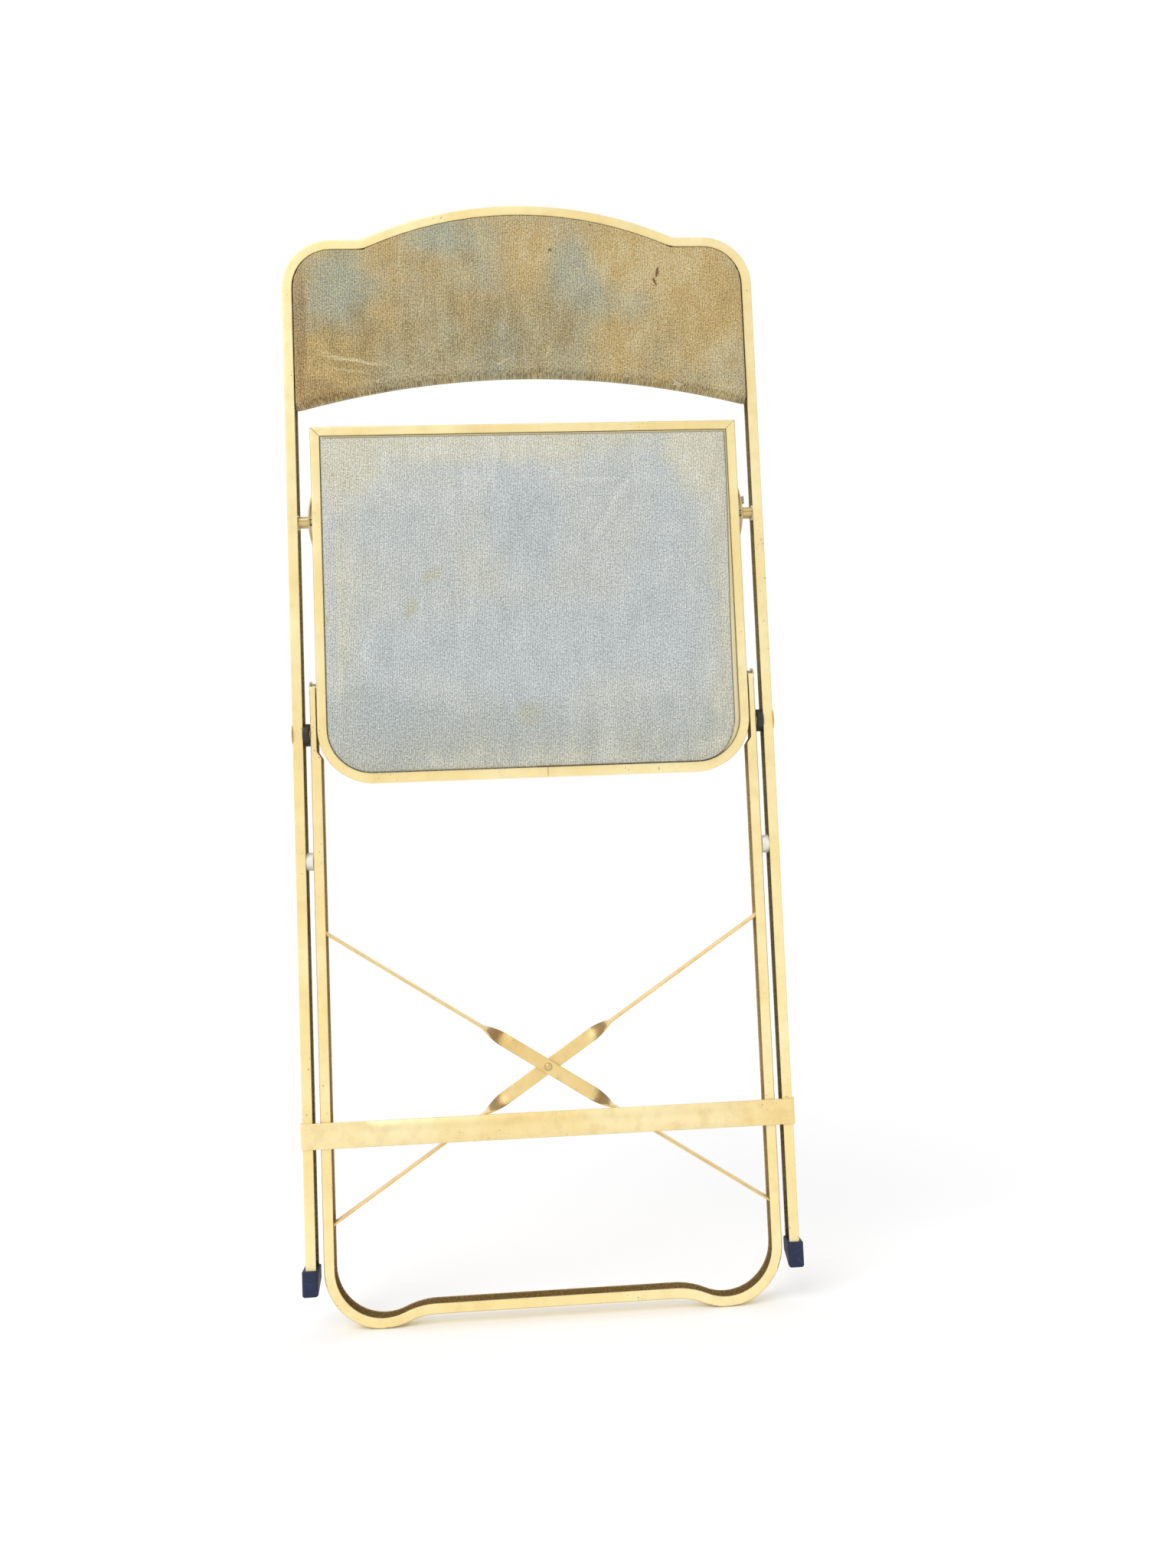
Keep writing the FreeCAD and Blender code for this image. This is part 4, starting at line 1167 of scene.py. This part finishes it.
# ---------------------------------------------------------------- studio
@dataclass
class Studio:
    """White paper floor, a room that is white behind the chair and dimmer before it, one soft high lamp to
    the left, and the camera."""

    behind: float = 1.02          # the room's light behind the chair
    before: float = 0.72          # and before it
    lamp: float = 1.2
    lamp_angle: float = 45.0      # degrees, large for soft shadows
    lamp_from: tuple[float, float, float] = (-0.5, -0.62, 0.78)
    floor_size: float = 60.0
    lens: float = 27.05
    sensor: float = 36.0
    eye: tuple[float, float, float] = (-0.0195, 0.34475, 0.99836)    # bench point of the camera
    turn: tuple[float, float, float] = (93.658, 2.304, -3.417)       # its angles in degrees

    def room(self) -> bpy.types.World:
        """The even room light, which falls off from behind the chair to before it."""
        world = bpy.data.worlds.new("white_room")
        world.use_nodes = True
        tree = world.node_tree
        tree.nodes.clear()
        way = add_node(tree, "ShaderNodeSeparateXYZ",
                       {0: add_node(tree, "ShaderNodeTexCoord").outputs["Generated"]})
        glow = add_node(tree, "ShaderNodeMapRange",
                        {"Value": way.outputs["Y"], "From Min": -0.3, "From Max": 0.5, "To Min": self.before,
                         "To Max": self.behind}, interpolation_type="SMOOTHSTEP")
        paint = add_node(tree, "ShaderNodeBackground", {"Color": srgb("#FFFFFF"),
                                                        "Strength": glow.outputs["Result"]})
        add_node(tree, "ShaderNodeOutputWorld", {"Surface": paint.outputs[0]})
        return world

    def build(self) -> None:
        """Build the studio round the chair."""
        scene = bpy.context.scene
        scene.view_settings.view_transform = "Standard"
        scene.world = self.room()
        half = self.floor_size / 2
        corners = [(-half, -half, 0), (half, -half, 0), (half, half, 0), (-half, half, 0)]
        floor = link_mesh("paper_floor", corners, [], [(0, 1, 2, 3)])
        floor.data.materials.append(StudioPaper().build())
        sun = bpy.data.lights.new("high_lamp", "SUN")
        sun.energy, sun.angle = self.lamp, math.radians(self.lamp_angle)
        lamp = bpy.data.objects.new("high_lamp", sun)
        lamp.rotation_euler = (-Vector(self.lamp_from)).to_track_quat("-Z", "Y").to_euler()
        scene.collection.objects.link(lamp)
        camera = bpy.data.cameras.new("camera")
        camera.lens, camera.sensor_width, camera.clip_end = self.lens, self.sensor, 200
        holder = bpy.data.objects.new("camera", camera)
        holder.location = BENCH.point(*self.eye)
        holder.rotation_euler = Euler([math.radians(angle) for angle in self.turn])
        scene.collection.objects.link(holder)
        scene.camera = holder


def main() -> None:
    """Build the studio, dress the steel and plastic, and build the covers and their small details."""
    logging.basicConfig(level=logging.INFO, format="%(name)s: %(message)s")
    Studio().build()
    Hardware().build()
    BackPadding(
        name="back_cover", node="back_pad", slot="back_velvet", body="outer_frame", half_width=201.4 * MM,
        lip=8.9 * MM, front=12.6 * MM, swell_cap=1.6 * MM,
        near=(0, 0.15, 0.6, 1.4, 2.5, 4.0, 6.0, 7.0, 7.6, 8.3, 9.2, 10.6, 13, 17, 24), middle_rows=22,
        finish=RibbedVelvet("ribbed_velvet_olive", cool="#AFB3A1", warm="#CFB176", pale="#E2D5A8",
                            dark="#86744A", shade_colour="#463B22", stain="#7A4F28", edging="#C9BB8C",
                            balance=0.5, warm_rim=0.2, contrast=0.72, mottle=0.55, scratched=0.5),
        stains=(Mark(-188, 805, 8, 60, 0.45), Mark(-176, 750, 26, 14, 0.4, -12),
                Mark(120, 850, 1.6, 5, 1.0, -12), Mark(117.5, 842, 1.4, 4, 1.0, 20),
                Mark(28, 870, 1.6, 1.6, 0.9), Mark(63, 893, 1.5, 1.5, 0.8)),
        creases=(Mark(-141, 774.5, 32, 1.6, 0.75, -9), Mark(-150, 767, 24, 1.2, 0.4, -10),
                 Mark(-158, 779, 14, 1.2, 0.5, -16)),
        warmth=(Mark(-150, 836, 38, 42, -1.0), Mark(-70, 885, 45, 20, -0.9), Mark(50, 850, 30, 35, -0.9),
                Mark(3, 865, 30, 30, 0.6), Mark(96, 865, 50, 32, 1.0), Mark(150, 830, 45, 60, 1.0),
                Mark(-172, 768, 40, 34, 1.0), Mark(-128, 807, 45, 28, 0.7), Mark(-16, 800, 60, 30, -0.3),
                Mark(81, 782, 30, 30, 0.5)),
        shade=(Mark(-16, 805, 110, 42, 0.8), Mark(-150, 790, 60, 40, 0.6), Mark(178, 768, 30, 34, -1.0),
               Mark(-180, 758, 24, 18, -0.7), Mark(110, 855, 70, 50, -0.9), Mark(3, 868, 40, 30, -0.6),
               Mark(81, 785, 35, 35, -0.5), Mark(0, 770, 190, 12, 0.4)),
    ).build()
    SeatPadding(
        name="seat_cover", node="seat_pad", slot="seat_velvet", body="seat", half_width=180.8 * MM,
        lip=8.4 * MM, front=15.6 * MM, swell_cap=3.0 * MM, middle_rows=30,
        finish=RibbedVelvet("ribbed_velvet_blue", cool="#C3CACC", warm="#DBD5BC", pale="#F0F0E8",
                            dark="#9AA29E", shade_colour="#626A68", stain="#BCB688", edging="#EADCAC",
                            balance=0.35, warm_rim=0.5, contrast=0.7, patchy=1.0, mottle=0.45, tuck_shade=0.35),
        stains=(Mark(-82, 588, 12, 6, 0.45, 35), Mark(-101, 560, 6, 10, 0.5, -30), Mark(-5, 467, 14, 11, 0.3),
                Mark(-170.5, 553, 1.6, 5, 0.8), Mark(-163, 676, 1.8, 2.2, 0.8)),
        creases=(Mark(78, 655, 18, 3.5, 0.3, 55), Mark(62, 627, 26, 3.5, 0.25, 60), Mark(58, 667, 26, 3, 0.25)),
        warmth=(Mark(7, 525, 100, 45, -1.0), Mark(-3, 634, 40, 65, -0.8), Mark(-150, 688, 30, 34, 1.3),
                Mark(-169, 560, 8, 130, -0.9), Mark(-38, 697, 80, 18, 0.5), Mark(150, 690, 34, 44, 1.2),
                Mark(-110, 510, 60, 60, -0.4), Mark(120, 560, 50, 90, -0.4)),
        shade=(Mark(-148, 455, 75, 48, 1.5), Mark(-40, 452, 100, 36, 1.4), Mark(110, 450, 90, 36, 1.0),
               Mark(-60, 680, 130, 40, -0.6), Mark(140, 660, 50, 60, -0.4), Mark(-3, 625, 30, 60, 0.4),
               Mark(70, 650, 30, 25, 0.3)),
    ).build()
    HemFuzz().build()
    PulledThreads().build()
    FeltScrap().build()


if __name__ == "__main__":
    main()
